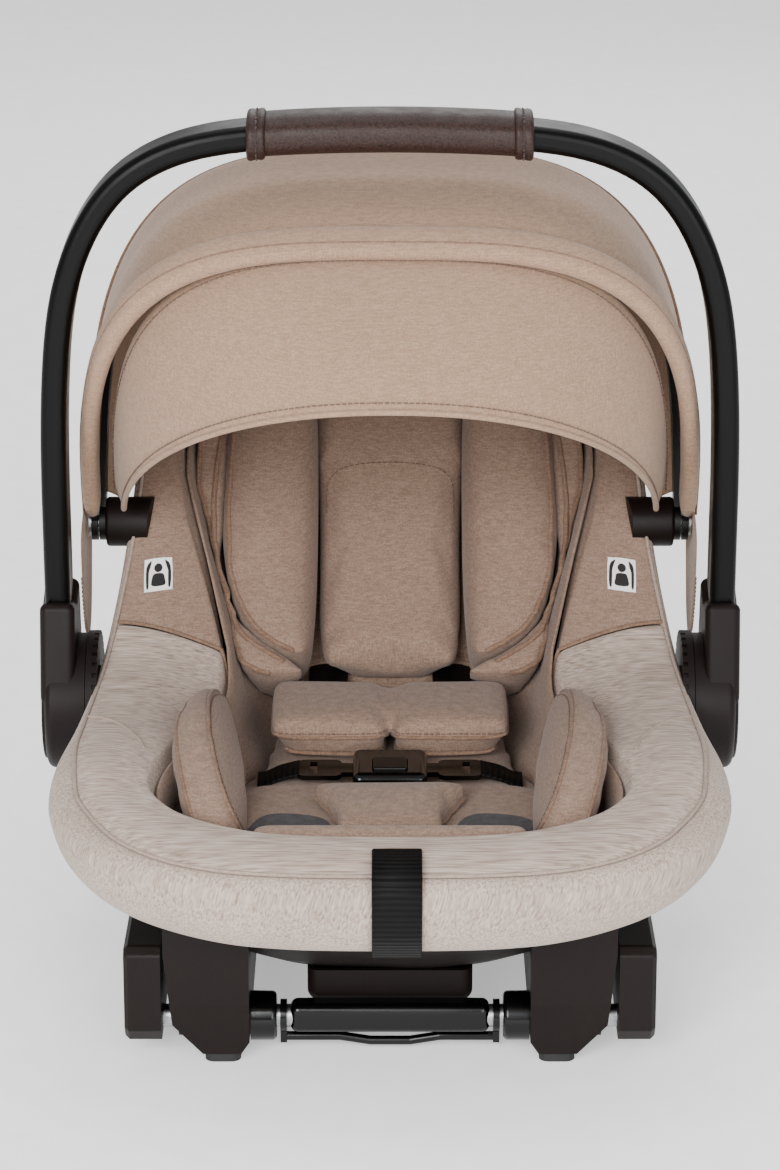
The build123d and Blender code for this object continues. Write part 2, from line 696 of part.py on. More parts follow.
def front_panel():
    steps = 4
    span = MID_TILT - 0.3 - BOW_TILT
    return canopy_sheet([BOW_TILT + span * i / steps for i in range(steps + 1)], 0, FABRIC, 20)


def rear_panel():
    steps = 4
    span = REAR_TILT - MID_TILT - 0.3
    return canopy_sheet([MID_TILT + 0.3 + span * i / steps for i in range(steps + 1)], 0, FABRIC, 20)


def visor_panel():
    """Visor under the front bow: its edge is rounder and narrower than the bow."""
    steps = 3
    wires = []
    for i in range(steps + 1):
        share = i / steps
        tilt = BOW_TILT - 1 + (VISOR_TILT - BOW_TILT + 1) * share
        half = CANOPY_HALF - 20 - 5 * share
        rise = CANOPY_RISE - 9.5 + 12 * share
        power = 3.3 - 1.15 * share
        wires.append(arch_wire(tilt, 0, FABRIC, half, rise, power, 32))
    return Solid.make_loft(wires)


def bow(tilt, near):
    """Flat bow in the plane of one rib, with an eye at each end for the pivot."""
    half = canopy_half(tilt)
    rise = canopy_rise(tilt)
    wire = arch_wire(tilt, near, near + BOW_THICK, half, rise, 3.3, 6)
    across = Vector(0, cos(radians(tilt)), -sin(radians(tilt)))
    strip = extrude(Face(wire), amount=BOW_WIDTH / 2, dir=across, both=True)
    x1 = half - near
    eye = disc_x(MOUNT_RADIUS - 4, x1 - BOW_THICK, x1, CANOPY_Y, CANOPY_Z)
    strip += eye
    strip += mirror(eye, about=Plane.YZ)
    hole = disc_x(RIVET_RADIUS + RUNNING_FIT, 120, 230, CANOPY_Y, CANOPY_Z)
    strip -= hole
    strip -= mirror(hole, about=Plane.YZ)
    return strip


FRONT_BOW_INSET = FABRIC + 2.5
MID_BOW_INSET = FRONT_BOW_INSET + BOW_THICK - 2 + 1.0


def canopy_mount():
    """Round mount on the shell that carries the bows."""
    x1 = canopy_half(MID_TILT) - MID_BOW_INSET - BOW_THICK - 0.4
    mount = disc_x(MOUNT_RADIUS, SHOULDER_HALF - COVER_DEPTH - 12, x1, CANOPY_Y, CANOPY_Z)
    mount = fillet(mount.edges().sort_by(Axis.X)[-1], 2)
    mount -= tub(COVER_DEPTH + 0.2)
    mount -= disc_x(RIVET_RADIUS, 100, 230, CANOPY_Y, CANOPY_Z)
    return largest(mount)


def canopy_rivet():
    """Pivot pin of the bows, with a flat head outside them."""
    head_x = canopy_half(BOW_TILT) - FRONT_BOW_INSET + 0.3
    pin = disc_x(RIVET_RADIUS, SHOULDER_HALF - COVER_DEPTH + 3, head_x + 1, CANOPY_Y, CANOPY_Z)
    return pin + disc_x(RIVET_RADIUS + 4, head_x, head_x + 1.6, CANOPY_Y, CANOPY_Z)


def side_flap():
    """Lower corner of the canopy, hanging outside the pivot."""
    x0 = canopy_half(BOW_TILT) - FRONT_BOW_INSET + 2.6
    corners = [(34, 262), (30, 225), (52, 182), (78, 174), (100, 196), (112, 262)]
    face = make_face(Polyline(*[Vector(x0, y, z) for y, z in corners], close=True).edges())
    flap = extrude(face, amount=1.8, dir=(1, 0, 0))
    return fillet(flap.edges().filter_by(Axis.X), 10)


# ---- cushions --------------------------------------------------------------------------------
def back_plane(n=0.0):
    """Plane of the seat back: local x across, local y up the back, z towards the child."""
    normal = Vector(0, -sin(radians(RECLINE)), cos(radians(RECLINE)))
    origin = Vector(0, BACK_Y, BACK_Z) + normal * n
    return Plane(origin=origin, x_dir=(1, 0, 0), z_dir=normal)


def back_slab(outline, n0, n1):
    """A closed (x, u) outline on the seat back, thickened from n0 to n1."""
    face = make_face(Polyline(*[Vector(x, u, 0) for x, u in outline], close=True).edges())
    placed = back_plane(n0) * face
    return extrude(placed, amount=n1 - n0, dir=back_plane().z_dir)


def smooth_slab(outline, n0, n1):
    """The same with a smooth closed outline."""
    face = make_face([Spline(*[Vector(x, u, 0) for x, u in outline], periodic=True)])
    placed = back_plane(n0) * face
    return extrude(placed, amount=n1 - n0, dir=back_plane().z_dir)


BACK_PAD_FRONT = -24.0
WING_FRONT = 30.0
PANEL_FRONT = 8.0
CENTRE_HALF = 50.0
HEAD_TOP = 222.0


def behind_back_pad(extra=0.0):
    """Everything behind the front face of the back pad."""
    front = BACK_PAD_FRONT + extra
    return back_slab([(-300, -400), (300, -400), (300, 500), (-300, 500)], front - 260, front)


def back_pad():
    slab = cavity(LINING + GAP) & behind_back_pad()
    slab -= above_rim(6)
    slab -= strap_slots()
    return largest(slab)


def seat_pad():
    top = 80 + FLOOR_PAD
    slab = cavity(LINING + GAP) & block(-200, 200, -SEAT_FRONT, 200, 0, top)
    slab -= behind_back_pad(GAP)
    return largest(slab)


def insert_base():
    """Second, thinner cushion on the seat pad: the infant insert."""
    z0 = 80 + FLOOR_PAD + GAP
    z1 = z0 + 22
    slab = cavity(LINING + GAP + 3) & block(-200, 200, -SEAT_FRONT, 200, z0, z1)
    slab -= behind_back_pad(GAP)
    slab -= block(-BUCKLE_WIDTH / 2 - 1, BUCKLE_WIDTH / 2 + 1, -90, -80, 0, 300)
    return largest(slab)


def head_outline(half, foot, drop):
    """Outline of the head support on the seat back: broad at the head, narrow at the hips."""
    return [(0, foot - drop), (half * 0.60, foot), (half * 0.86, foot + 22), (half, foot + 66), (half, foot + 140),
            (half * 0.86, HEAD_TOP), (0, HEAD_TOP + 6), (-half * 0.86, HEAD_TOP), (-half, foot + 140),
            (-half, foot + 66), (-half * 0.86, foot + 22), (-half * 0.60, foot)]


def head_ring():
    """Outer wings of the head support, joined round the top."""
    ring = smooth_slab(head_outline(131, 0, 6), BACK_PAD_FRONT + GAP, WING_FRONT - 4)
    ring -= smooth_slab(head_outline(108, 14, 40), BACK_PAD_FRONT - 50, WING_FRONT + 50)
    ring -= back_slab([(-300, -300), (300, -300), (300, 2), (-300, 2)], -100, 100)
    ring &= cavity(LINING + GAP)
    ring -= strap_slots()
    return without_slivers(ring)


def without_slivers(shape):
    """The whole shape without slivers under a cubic centimetre."""
    kept = [s for s in shape.solids() if s.volume > 1000]
    return kept[0] if len(kept) == 1 else Compound(children=kept)


def head_wing():
    """Left inner wing of the head support."""
    wing = smooth_slab(head_outline(108 - GAP, 14 + GAP, 40), BACK_PAD_FRONT + GAP, WING_FRONT)
    wing &= cavity(LINING + GAP)
    wing -= block(-300, CENTRE_HALF + GAP, -400, 400, 0, 500)
    wing -= back_slab([(-300, -300), (300, -300), (300, 14), (-300, 14)], -100, 100)
    wing -= strap_slots()
    return largest(wing)


def centre_panel():
    panel = back_slab([(-CENTRE_HALF + 6, 16), (CENTRE_HALF - 6, 16), (CENTRE_HALF, 160), (CENTRE_HALF, HEAD_TOP - 2),
                       (-CENTRE_HALF, HEAD_TOP - 2), (-CENTRE_HALF, 160)], BACK_PAD_FRONT + GAP, PANEL_FRONT)
    return largest(panel - strap_slots())


def side_bolster():
    """Left body cushion: an oval pad standing between the seat and the arm."""
    face = Plane(origin=(0, 0, 0), x_dir=(0, 1, 0), z_dir=(1, 0, 0)) * Ellipse(88, 34)
    pad = extrude(face, amount=15, dir=(1, 0, 0), both=True)
    pad = fillet(pad.edges(), 9)
    pad = Pos(110, -118, 152) * Rot(0, 0, -5) * Rot(9, 0, 0) * Rot(0, 24, 0) * pad
    pad = pad & cavity(LINING + GAP)
    return largest(pad - bolster_clearance())


def bolster_clearance():
    """Space of the insert's top and of the front roll, kept free by the bolsters."""
    top = 80 + FLOOR_PAD + 2 * GAP + 22
    low = block(-300, 300, -SEAT_FRONT, 200, 0, top)
    return low


def front_roll():
    """Round front edge of the infant insert."""
    x = 84
    roll = disc_x(13, -x, x, -SEAT_FRONT + 70, 144)
    return fillet(roll.edges(), 8) & cavity(LINING + GAP)


# ---- harness ---------------------------------------------------------------------------------
PAD_IN = 3.0
PAD_FRONT = -58.0
PAD_REAR = 24.0
PAD_BASE = 146.5
PAD_HEIGHT = 15.0
YOKE_Y = SEAT_REAR - 39.4     # just behind the shell


def shoulder_pad():
    """Left shoulder pad: a padded sleeve folded back on itself under the chest."""
    x1 = PAD_IN + PAD_WIDTH
    upper = soft_block(PAD_IN, x1, PAD_FRONT, PAD_REAR, PAD_BASE, PAD_BASE + PAD_HEIGHT, 6)
    upper -= block(PAD_IN + 19, x1 - 19, PAD_REAR - 24, PAD_REAR + 5, PAD_BASE + 5.5, PAD_BASE + 5.5 + WEB + 0.8)
    lower = soft_block(PAD_IN + 1, x1 - 8, PAD_FRONT + 8, PAD_REAR - 12, PAD_BASE - 13.5, PAD_BASE - 0.5, 5)
    return Compound(children=list(upper.solids()) + list(lower.solids()))


def shoulder_strap():
    """Webbing from the shoulder pad back through the slots to the yoke behind the shell."""
    x = PAD_IN + PAD_WIDTH / 2
    half = WEB_NARROW / 2
    z = PAD_BASE + 5.9
    return block(x - half, x + half, PAD_REAR - 22, YOKE_Y - 0.2, z, z + WEB)


def harness_yoke():
    """Steel plate behind the shell that joins the two shoulder straps."""
    x = PAD_IN + PAD_WIDTH / 2 + WEB_NARROW / 2 + 5
    plate = block(-x, x, YOKE_Y, YOKE_Y + 3, PAD_BASE - 17, PAD_BASE + 10)
    plate = fillet(plate.edges().filter_by(Axis.Y), 8)
    return plate


def buckle_place():
    return -88.0, 129.2 + 0.6


def buckle_housing():
    y, z = buckle_place()
    body = soft_block(-BUCKLE_WIDTH / 2, BUCKLE_WIDTH / 2, y - 24, y + 24, z, z + 17, 5)
    body -= block(-11, 11, y - 17, y + 3, z + 9, z + 30)
    for side in (-1, 1):
        body -= block(side * 4, side * 40, y - 2, y + 18, z + 6, z + 10.5)
    return body


def buckle_button():
    y, z = buckle_place()
    return fillet(block(-10.4, 10.4, y - 16.4, y + 2.4, z + 12, z + 19).edges(), 1.2)


def tongue():
    """Left tongue: a plate into the buckle, with a loop for the webbing."""
    y, z = buckle_place()
    plate = block(4.6, 55, y, y + 16, z + 6.6, z + 9.6)
    loop = block(30, 57, y - 6, y + 22, z + 6.6, z + 9.6)
    loop = fillet(loop.edges().filter_by(Axis.Z), 5)
    plate += loop
    return plate - block(45, 49.5, y - 2, y + 18, z, z + 20)


def lap_strap():
    """Webbing from the tongue to the hip, lying on the insert."""
    y, z = buckle_place()
    start = 58
    points = [(start, z + 8.0), (start + 10, z + 5), (start + 18, z + 1), (start + 24, z + 0.3)]
    line = [Vector(x, y - 4, height) for x, height in points]
    upper = [Vector(x, y - 4, height + WEB) for x, height in points]
    face = make_face(Polyline(*(line + list(reversed(upper))), close=True).edges())
    return extrude(face, amount=WEB_NARROW, dir=(0, 1, 0))


def crotch_strap():
    """Webbing from the buckle down through the cushions to the shell."""
    y, z = buckle_place()
    strap = block(-12, 12, y + 4.0, y + 4.0 + WEB, TUB_FLOOR + WALL + 8, z - 0.4)
    return strap


def crotch_slot():
    """Slot for the crotch strap through the cushions, the lining and the foam."""
    y, z = buckle_place()
    return block(-15, 15, y + 1, y + 9, TUB_FLOOR + WALL + 0.5, z + 2)


def crotch_pad():
    """Pad in front of the buckle, broad at the top and narrow towards the front."""
    y = -114.5
    outline = [(-50, y), (50, y), (40, y - 30), (33, y - 55), (36, y - 72), (-36, y - 72), (-33, y - 55), (-40, y - 30)]
    z0 = 80 + FLOOR_PAD + GAP + 22 + 1.4
    face = make_face(Polyline(*[Vector(x, yy, z0) for x, yy in outline], close=True).edges())
    pad = extrude(face, amount=16, dir=(0, 0, 1))
    return fillet(pad.edges(), 5)


def front_ribbon():
    """Adjuster webbing over the front of the bumper, tucked under the shell."""
    grown = tub_to_rim(-2.4, -2.4) - tub_to_rim(-0.5, -0.5)
    half = WEB_WIDE / 2
    return largest(grown & block(4 - half, 4 + half, -SEAT_FRONT - 20, -SEAT_FRONT + 23, 90, 200))


def under_ribbon():
    """Harness webbing along the underside and the back of the shell, up to the yoke."""
    near = COVER_DEPTH - 0.6
    grown = tub_to_rim(near - WEB, near - WEB, -0.9 - WEB) - tub_to_rim(near, near, -0.9)
    half = WEB_WIDE / 2
    strip = grown & block(4 - half, 4 + half, -SEAT_FRONT + 30, SEAT_REAR, 0, PAD_BASE - 16)
    strip -= block(-60, 60, -210, -40, 0, TUB_FLOOR - 0.3)
    return largest(strip)


def adjuster_housing():
    """Clamp for the adjuster strap, behind the front wall under its flap."""
    half = WEB_WIDE / 2 + 5
    y0 = -SEAT_FRONT + 34
    body = block(4 - half, 4 + half, y0, y0 + 22, 113, 133)
    body = fillet(body.edges().filter_by(Axis.X), 4)
    body -= block(4 - half + 3.5, 4 + half - 3.5, y0 - 1, y0 + 9, 119, 140)
    return body


def adjuster_button():
    half = WEB_WIDE / 2
    y0 = -SEAT_FRONT + 34
    key = block(4 - half, 4 + half, y0 - 2, y0 + 5, 126, 136)
    return fillet(key.edges().filter_by(Axis.X), 2)


# ---- write every piece -----------------------------------------------------------------------
def main():
    os.makedirs("parts", exist_ok=True)
    slot = crotch_slot()
    save(shell(), "shell_tub")
    save(foam_liner() - slot, "foam_liner")
    save(rim_cover(), "rim_cover")
    save(seat_lining() - slot, "seat_lining")
    save(side_panels(), "side_panels")
    save_pair(rail(), "base_rail")
    save(both(foot_pads()), "foot_pads")
    save(harness_guard(), "harness_guard")

    save_pair(latch_arm(), "latch_arm")
    save_pair(latch_claw(), "latch_claw")
    save(both(claw_pin()), "claw_pins")
    save_pair(release_button(), "latch_release")
    save(torsion_rod(), "torsion_rod")
    save(rod_sleeve(), "rod_sleeve")
    save(both(bushing()), "rod_bushings")
    save(release_bar(), "release_bar")

    save(handle_tube(), "handle_tube")
    save(handle_grip(), "handle_grip")
    save(grip_cuffs(), "grip_cuffs")
    save_pair(handle_hub(), "handle_hub")
    save(both(hub_cap()), "hub_caps")
    save_pair(handle_button(), "handle_button")
    save(both(button_spring()), "button_springs")
    save(both(hub_boss()), "hub_bosses")
    save(both(hub_pin()), "hub_pins")

    save(both(canopy_mount()), "canopy_mounts")
    save(both(canopy_rivet()), "canopy_rivets")
    save(bow(BOW_TILT, FRONT_BOW_INSET), "canopy_front_bow")
    save(bow(MID_TILT, MID_BOW_INSET), "canopy_mid_bow")
    save(front_panel(), "canopy_front_panel")
    save(rear_panel(), "canopy_rear_panel")
    save(visor_panel(), "canopy_visor")
    save(both(side_flap()), "canopy_side_flaps")

    save(back_pad(), "back_pad")
    save(seat_pad() - slot, "seat_pad")
    save(insert_base() - slot, "insert_base")
    save(head_ring(), "head_ring")
    save(both(head_wing()), "head_wings")
    save(centre_panel(), "centre_panel")
    save(both(side_bolster()), "side_bolsters")
    save(front_roll(), "front_roll")

    save(both(shoulder_pad()), "shoulder_pads")
    save(both(shoulder_strap()), "shoulder_straps")
    save(harness_yoke(), "harness_yoke")
    save(buckle_housing(), "buckle_housing")
    save(buckle_button(), "buckle_button")
    save(both(tongue()), "buckle_tongues")
    save(both(lap_strap()), "lap_straps")
    save(crotch_strap(), "crotch_strap")
    save(crotch_pad(), "crotch_pad")
    save(front_ribbon(), "adjuster_strap")
    save(under_ribbon(), "harness_strap_under")
    save(adjuster_housing(), "adjuster_housing")
    save(adjuster_button(), "adjuster_button")


main()
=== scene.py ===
import bmesh
import bpy
import json
import math
from mathutils import Matrix, Vector
from mathutils.bvhtree import BVHTree

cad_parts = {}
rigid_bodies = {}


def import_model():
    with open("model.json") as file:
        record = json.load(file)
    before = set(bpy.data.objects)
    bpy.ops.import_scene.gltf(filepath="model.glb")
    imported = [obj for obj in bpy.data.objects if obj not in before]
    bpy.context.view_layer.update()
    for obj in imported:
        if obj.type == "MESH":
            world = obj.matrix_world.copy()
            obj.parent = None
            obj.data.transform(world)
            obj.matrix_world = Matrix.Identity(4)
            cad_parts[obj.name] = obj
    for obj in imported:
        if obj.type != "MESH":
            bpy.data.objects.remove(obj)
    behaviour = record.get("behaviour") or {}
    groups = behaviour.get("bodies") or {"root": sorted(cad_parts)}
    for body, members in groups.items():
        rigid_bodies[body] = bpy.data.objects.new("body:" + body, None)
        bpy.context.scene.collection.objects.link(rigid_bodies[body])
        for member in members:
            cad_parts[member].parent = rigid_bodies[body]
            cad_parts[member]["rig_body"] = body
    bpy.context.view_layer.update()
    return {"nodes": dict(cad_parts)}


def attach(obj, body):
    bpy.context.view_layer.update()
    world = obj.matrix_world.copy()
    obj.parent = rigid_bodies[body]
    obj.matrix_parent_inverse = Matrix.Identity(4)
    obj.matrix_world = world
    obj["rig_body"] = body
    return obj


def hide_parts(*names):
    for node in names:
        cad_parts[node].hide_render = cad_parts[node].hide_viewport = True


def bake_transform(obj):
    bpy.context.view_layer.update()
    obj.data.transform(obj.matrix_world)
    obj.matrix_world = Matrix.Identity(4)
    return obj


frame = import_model()
CAD = frame["nodes"]

# Lengths below are in millimetres, with Y = 0 at the handle pivots. HUB_Y is where they are in the frame.
HUB_Y = -10.0
TUB_FRONT, TUB_REAR = -290.0, 322.0
TUB_LEVELS = [(46, 96, 104, 176), (58, 80, 82, 146), (74, 69, 60, 122), (88, 56, 40, 104), (98, 38, 22, 92),
              (110, 22, 11, 80), (124, 11, 5, 64), (142, 4, 1, 44), (168, 0, 0, 22), (205, 0, 0, 6),
              (240, 0, 0, 1), (270, 0, 0, 6), (300, 0, 0, 16), (331, 0, 0, 29), (391, 0, 0, 66)]
HOLLOW_LEVELS = [(76, 104, 104, 296), (96, 90, 84, 276), (118, 76, 68, 255), (144, 64, 56, 229),
                 (172, 58, 50, 202), (215, 47, 46, 160), (262, 28, 44, 114), (391, 16, 40, 30)]
RIM = [(-320, 147), (-265, 154), (-215, 163), (-150, 172), (-75, 173), (-30, 178), (4, 191), (34, 219.7),
       (62, 253.1), (90, 281.7), (130, 302.4), (190, 318.3), (262, 328), (362, 331)]
SKIRT = [(-320, 97), (-260, 98), (-190, 106), (-90, 116), (0, 120), (60, 140), (130, 190), (210, 242),
         (362, 282)]
AROUND = 7                     # stations between two corners of the tub's outline
TAUPE_FROM = 10                # the taupe cover starts this far behind the pivots
CANOPY_Y, CANOPY_Z = 70.0, 252.0
BOW_TILT, MID_TILT, REAR_TILT = -29.0, 20.0, 73.0
ARCH_POWER = 3.3               # 2 is an ellipse, more is squarer
CANOPY_RISE, MID_DIP, REAR_LIFT = 253, 20, 11
CANOPY_HALF, MID_NARROWER, REAR_NARROWER = 197, 2, 23
HANDLE_Z, HANDLE_TOP = 155, 369   # the pivots above the floor, and the middle of the tube above the pivots
CUFF_GROOVE = 81.0             # middle of the handle to the stitched groove of a cuff
RECLINE = math.radians(46)
BACK_Y, BACK_Z = 30.0, 150.0
SIDES = ((1, "left"), (-1, "right"))


# ---- small tools -------------------------------------------------------------------------------
def metres(point):
    return Vector((point[0], point[1] + HUB_Y, point[2])) / 1000


def between(table, at):
    """The values of a table between its rows, on a rounded line that doesn't overshoot."""
    if at <= table[0][0]:
        return list(table[0][1:])
    if at >= table[-1][0]:
        return list(table[-1][1:])
    i = next(k for k in range(len(table) - 1) if table[k + 1][0] >= at)
    x0, x1 = table[i][0], table[i + 1][0]
    share = (at - x0) / (x1 - x0)

    def slope(k, column):
        if k == 0 or k == len(table) - 1:
            a, b = (0, 1) if k == 0 else (k - 1, k)
            return (table[b][column] - table[a][column]) / (table[b][0] - table[a][0])
        left = (table[k][column] - table[k - 1][column]) / (table[k][0] - table[k - 1][0])
        right = (table[k + 1][column] - table[k][column]) / (table[k + 1][0] - table[k][0])
        return 0.0 if left * right <= 0 else (left + right) / 2

    values = []
    for column in range(1, len(table[0])):
        y0, y1 = table[i][column], table[i + 1][column]
        m0, m1 = slope(i, column) * (x1 - x0), slope(i + 1, column) * (x1 - x0)
        s2, s3 = share * share, share ** 3
        values.append((2 * s3 - 3 * s2 + 1) * y0 + (s3 - 2 * s2 + share) * m0 + (3 * s2 - 2 * s3) * y1
                      + (s3 - s2) * m1)
    return values


def rounded(points, steps, closed=False):
    """A smooth line through the points."""
    pts = [Vector(p) for p in points]
    n = len(pts)
    line = []
    for i in range(n if closed else n - 1):
        if closed:
            a, b, c, d = pts[i - 1], pts[i], pts[(i + 1) % n], pts[(i + 2) % n]
        else:
            a, b, c, d = pts[max(i - 1, 0)], pts[i], pts[i + 1], pts[min(i + 2, n - 1)]
        for k in range(steps):
            t = k / steps
            line.append(b + (c - a) * t / 2 + (a * 2 - b * 5 + c * 4 - d) * t * t / 2
                        + (b * 3 - a - c * 3 + d) * t ** 3 / 2)
    if not closed:
        line.append(pts[-1])
    return line


def shape(name, points, faces, smooth=True):
    """A mesh object from points in millimetres."""
    mesh = bpy.data.meshes.new(name)
    mesh.from_pydata([metres(p) for p in points], [], faces)
    obj = bpy.data.objects.new(name, mesh)
    bpy.context.scene.collection.objects.link(obj)
    for face in mesh.polygons:
        face.use_smooth = smooth
    return obj


def skin(name, rows, ring=False, tube=False, centre=None):
    """A surface through rows of points. ring joins the last row to the first, tube the ends of each row."""
    wide = len(rows[0])
    faces = []
    for i in range(len(rows) if ring else len(rows) - 1):
        j = (i + 1) % len(rows)
        for k in range(wide if tube else wide - 1):
            m = (k + 1) % wide
            faces.append((i * wide + k, i * wide + m, j * wide + m, j * wide + k))
    if tube and not ring:
        faces += [tuple(reversed(range(wide))), tuple((len(rows) - 1) * wide + k for k in range(wide))]
    obj = shape(name, [p for row in rows for p in row], faces)
    bm = bmesh.new()
    bm.from_mesh(obj.data)
    bmesh.ops.remove_doubles(bm, verts=bm.verts, dist=1e-6)
    if centre is None:
        bmesh.ops.recalc_face_normals(bm, faces=bm.faces)
    else:
        middle = metres(centre)
        facing = sum(f.normal.dot(f.calc_center_median() - middle) * f.calc_area() for f in bm.faces)
        if facing < 0:
            bmesh.ops.reverse_faces(bm, faces=bm.faces)
    bm.to_mesh(obj.data)
    bm.free()
    return obj


def turned_out(obj):
    """Points the faces of a closed shape outwards."""
    bm = bmesh.new()
    bm.from_mesh(obj.data)
    bmesh.ops.recalc_face_normals(bm, faces=bm.faces)
    bm.to_mesh(obj.data)
    bm.free()


def finished(obj):
    """The object with its modifiers made real."""
    bpy.context.view_layer.update()
    mesh = bpy.data.meshes.new_from_object(obj.evaluated_get(bpy.context.evaluated_depsgraph_get()))
    obj.modifiers.clear()
    obj.data = mesh
    return obj


def smoothed(obj, levels=1):
    rounder = obj.modifiers.new("round", "SUBSURF")
    rounder.levels = rounder.render_levels = levels


def thick(obj, wall, levels=1):
    """A wall behind the surface, then rounded edges."""
    solid = obj.modifiers.new("wall", "SOLIDIFY")
    solid.thickness = wall / 1000
    solid.offset = -1.0
    smoothed(obj, levels)
    return finished(obj)


def fit(obj, material, body="root", nodes=()):
    """Gives a piece its material and its place among the moving parts."""
    if material is not None:
        obj.data.materials.clear()
        obj.data.materials.append(material)
    if body is not None:
        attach(obj, body)
    if nodes:
        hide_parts(*nodes)
    return obj


# ---- materials ---------------------------------------------------------------------------------
def linear(code):
    """sRGB hex to linear colour."""
    parts = [int(code[i:i + 2], 16) / 255 for i in (1, 3, 5)]
    return tuple(c / 12.92 if c <= 0.04045 else ((c + 0.055) / 1.055) ** 2.4 for c in parts) + (1.0,)


def add(tree, kind, inputs=None, **settings):
    """Adds a node with its settings, values and links."""
    made = tree.nodes.new(kind)
    for key, value in settings.items():
        setattr(made, key, value)
    for key, value in (inputs or {}).items():
        if isinstance(value, bpy.types.NodeSocket):
            tree.links.new(value, made.inputs[key])
        else:
            made.inputs[key].default_value = value
    return made


def coated(name, colour, roughness, bump, surface, base=None, **sockets):
    """Shader of one finish: a colour, a roughness, and a height that the light catches. bump is in metres."""
    material = bpy.data.materials.new(name)
    material.use_nodes = True
    tree = material.node_tree
    tree.nodes.clear()
    height, tint, gloss = surface(tree)
    normal = add(tree, "ShaderNodeBump", {"Height": height, "Distance": bump, "Strength": 1.0})
    inputs = {"Base Color": tint if tint is not None else linear(colour),
              "Roughness": gloss if gloss is not None else roughness, "Normal": normal.outputs["Normal"]}
    inputs.update(sockets)
    shader = add(tree, "ShaderNodeBsdfPrincipled", inputs)
    add(tree, "ShaderNodeOutputMaterial", {"Surface": shader.outputs["BSDF"]})
    material.diffuse_color = linear(colour)
    return material


def grains(tree, size, detail=2.0, stretch=(1, 1, 1), turn=(0, 0, 0), coordinate="Object"):
    """Noise whose grains are size millimetres wide, drawn out by stretch."""
    place = add(tree, "ShaderNodeTexCoord").outputs[coordinate]
    scale = [1000 / (size * s) for s in stretch]
    turned = add(tree, "ShaderNodeMapping", {"Vector": place, "Rotation": turn})
    put = add(tree, "ShaderNodeMapping", {"Vector": turned.outputs[0], "Scale": scale})
    noise = add(tree, "ShaderNodeTexNoise", {"Vector": put.outputs[0], "Scale": 1.0, "Detail": detail})
    return noise.outputs["Fac"]


def tones(tree, value, stops):
    """Colours or greys along a value."""
    ramp = add(tree, "ShaderNodeValToRGB", {"Fac": value})
    elements = ramp.color_ramp.elements
    while len(elements) < len(stops):
        elements.new(0.5)
    for element, (position, colour) in zip(elements, stops):
        element.position = position
        element.color = linear(colour) if isinstance(colour, str) else (colour, colour, colour, 1)
    return ramp.outputs["Color"]


def melange(name, stretch, turn):
    """Polyester melange jersey: pale threads with long darker slubs, 1.1 mm wide here so that they show."""
    def surface(tree):
        slub = grains(tree, 1.1, 2.0, stretch, turn)
        fine = grains(tree, 0.6, 1.0, stretch, turn)
        cloud = grains(tree, 40, 1.0)
        thread = tones(tree, slub, [(0.30, "#8c7a6c"), (0.44, "#a9978a"), (0.58, "#b7a699"),
                                    (0.72, "#c8b8ac")])
        shade = tones(tree, fine, [(0.30, 0.90), (0.65, 1.0)])
        patch = tones(tree, cloud, [(0.35, 0.93), (0.65, 1.0)])
        first = add(tree, "ShaderNodeMixRGB", {"Fac": 1.0, "Color1": thread, "Color2": shade},
                    blend_type="MULTIPLY")
        both = add(tree, "ShaderNodeMixRGB", {"Fac": 1.0, "Color1": first.outputs[0], "Color2": patch},
                   blend_type="MULTIPLY")
        return slub, both.outputs[0], None
    return coated(name, "#c0b1a7", 0.9, 0.00025, surface,
                  **{"Sheen Weight": 0.12, "Specular IOR Level": 0.25})


def heather(name, dark, middle, light):
    """Wool-look polyester knit: upright wales crossed by courses, both 0.9 mm, and soft heather flecks."""
    def surface(tree):
        wale = grains(tree, 0.9, 1.0, (1, 1, 7))
        course = grains(tree, 0.9, 1.0, (6, 6, 1))
        fleck = grains(tree, 0.8, 1.0)
        cross = add(tree, "ShaderNodeMath", {0: wale, 1: course}, operation="ADD").outputs[0]
        total = add(tree, "ShaderNodeMath", {0: cross, 1: fleck}, operation="ADD").outputs[0]
        mean = add(tree, "ShaderNodeMath", {0: total, 1: 1 / 3}, operation="MULTIPLY").outputs[0]
        tint = tones(tree, mean, [(0.38, dark), (0.50, middle), (0.62, light)])
        return mean, tint, None
    return coated(name, middle, 0.92, 0.0003, surface, **{"Sheen Weight": 0.15, "Specular IOR Level": 0.2})


def moulded(name, colour, roughness, grain=0.9, bump=0.00012, **sockets):
    """Injection-moulded plastic: even tone, spark-eroded grain, and gloss that wear varies a little."""
    def surface(tree):
        fine = grains(tree, grain, 2.0)
        wear = grains(tree, 60, 2.0)
        gloss = tones(tree, wear, [(0.35, roughness - 0.05), (0.65, roughness + 0.06)])
        tint = tones(tree, grains(tree, 25, 3.0), [(0.3, colour), (0.7, brighter(colour, 1.12))])
        return fine, tint, gloss
    return coated(name, colour, roughness, bump, surface, **sockets)


def brighter(code, share):
    return "#" + "".join("%02x" % min(255, round(int(code[i:i + 2], 16) * share)) for i in (1, 3, 5))


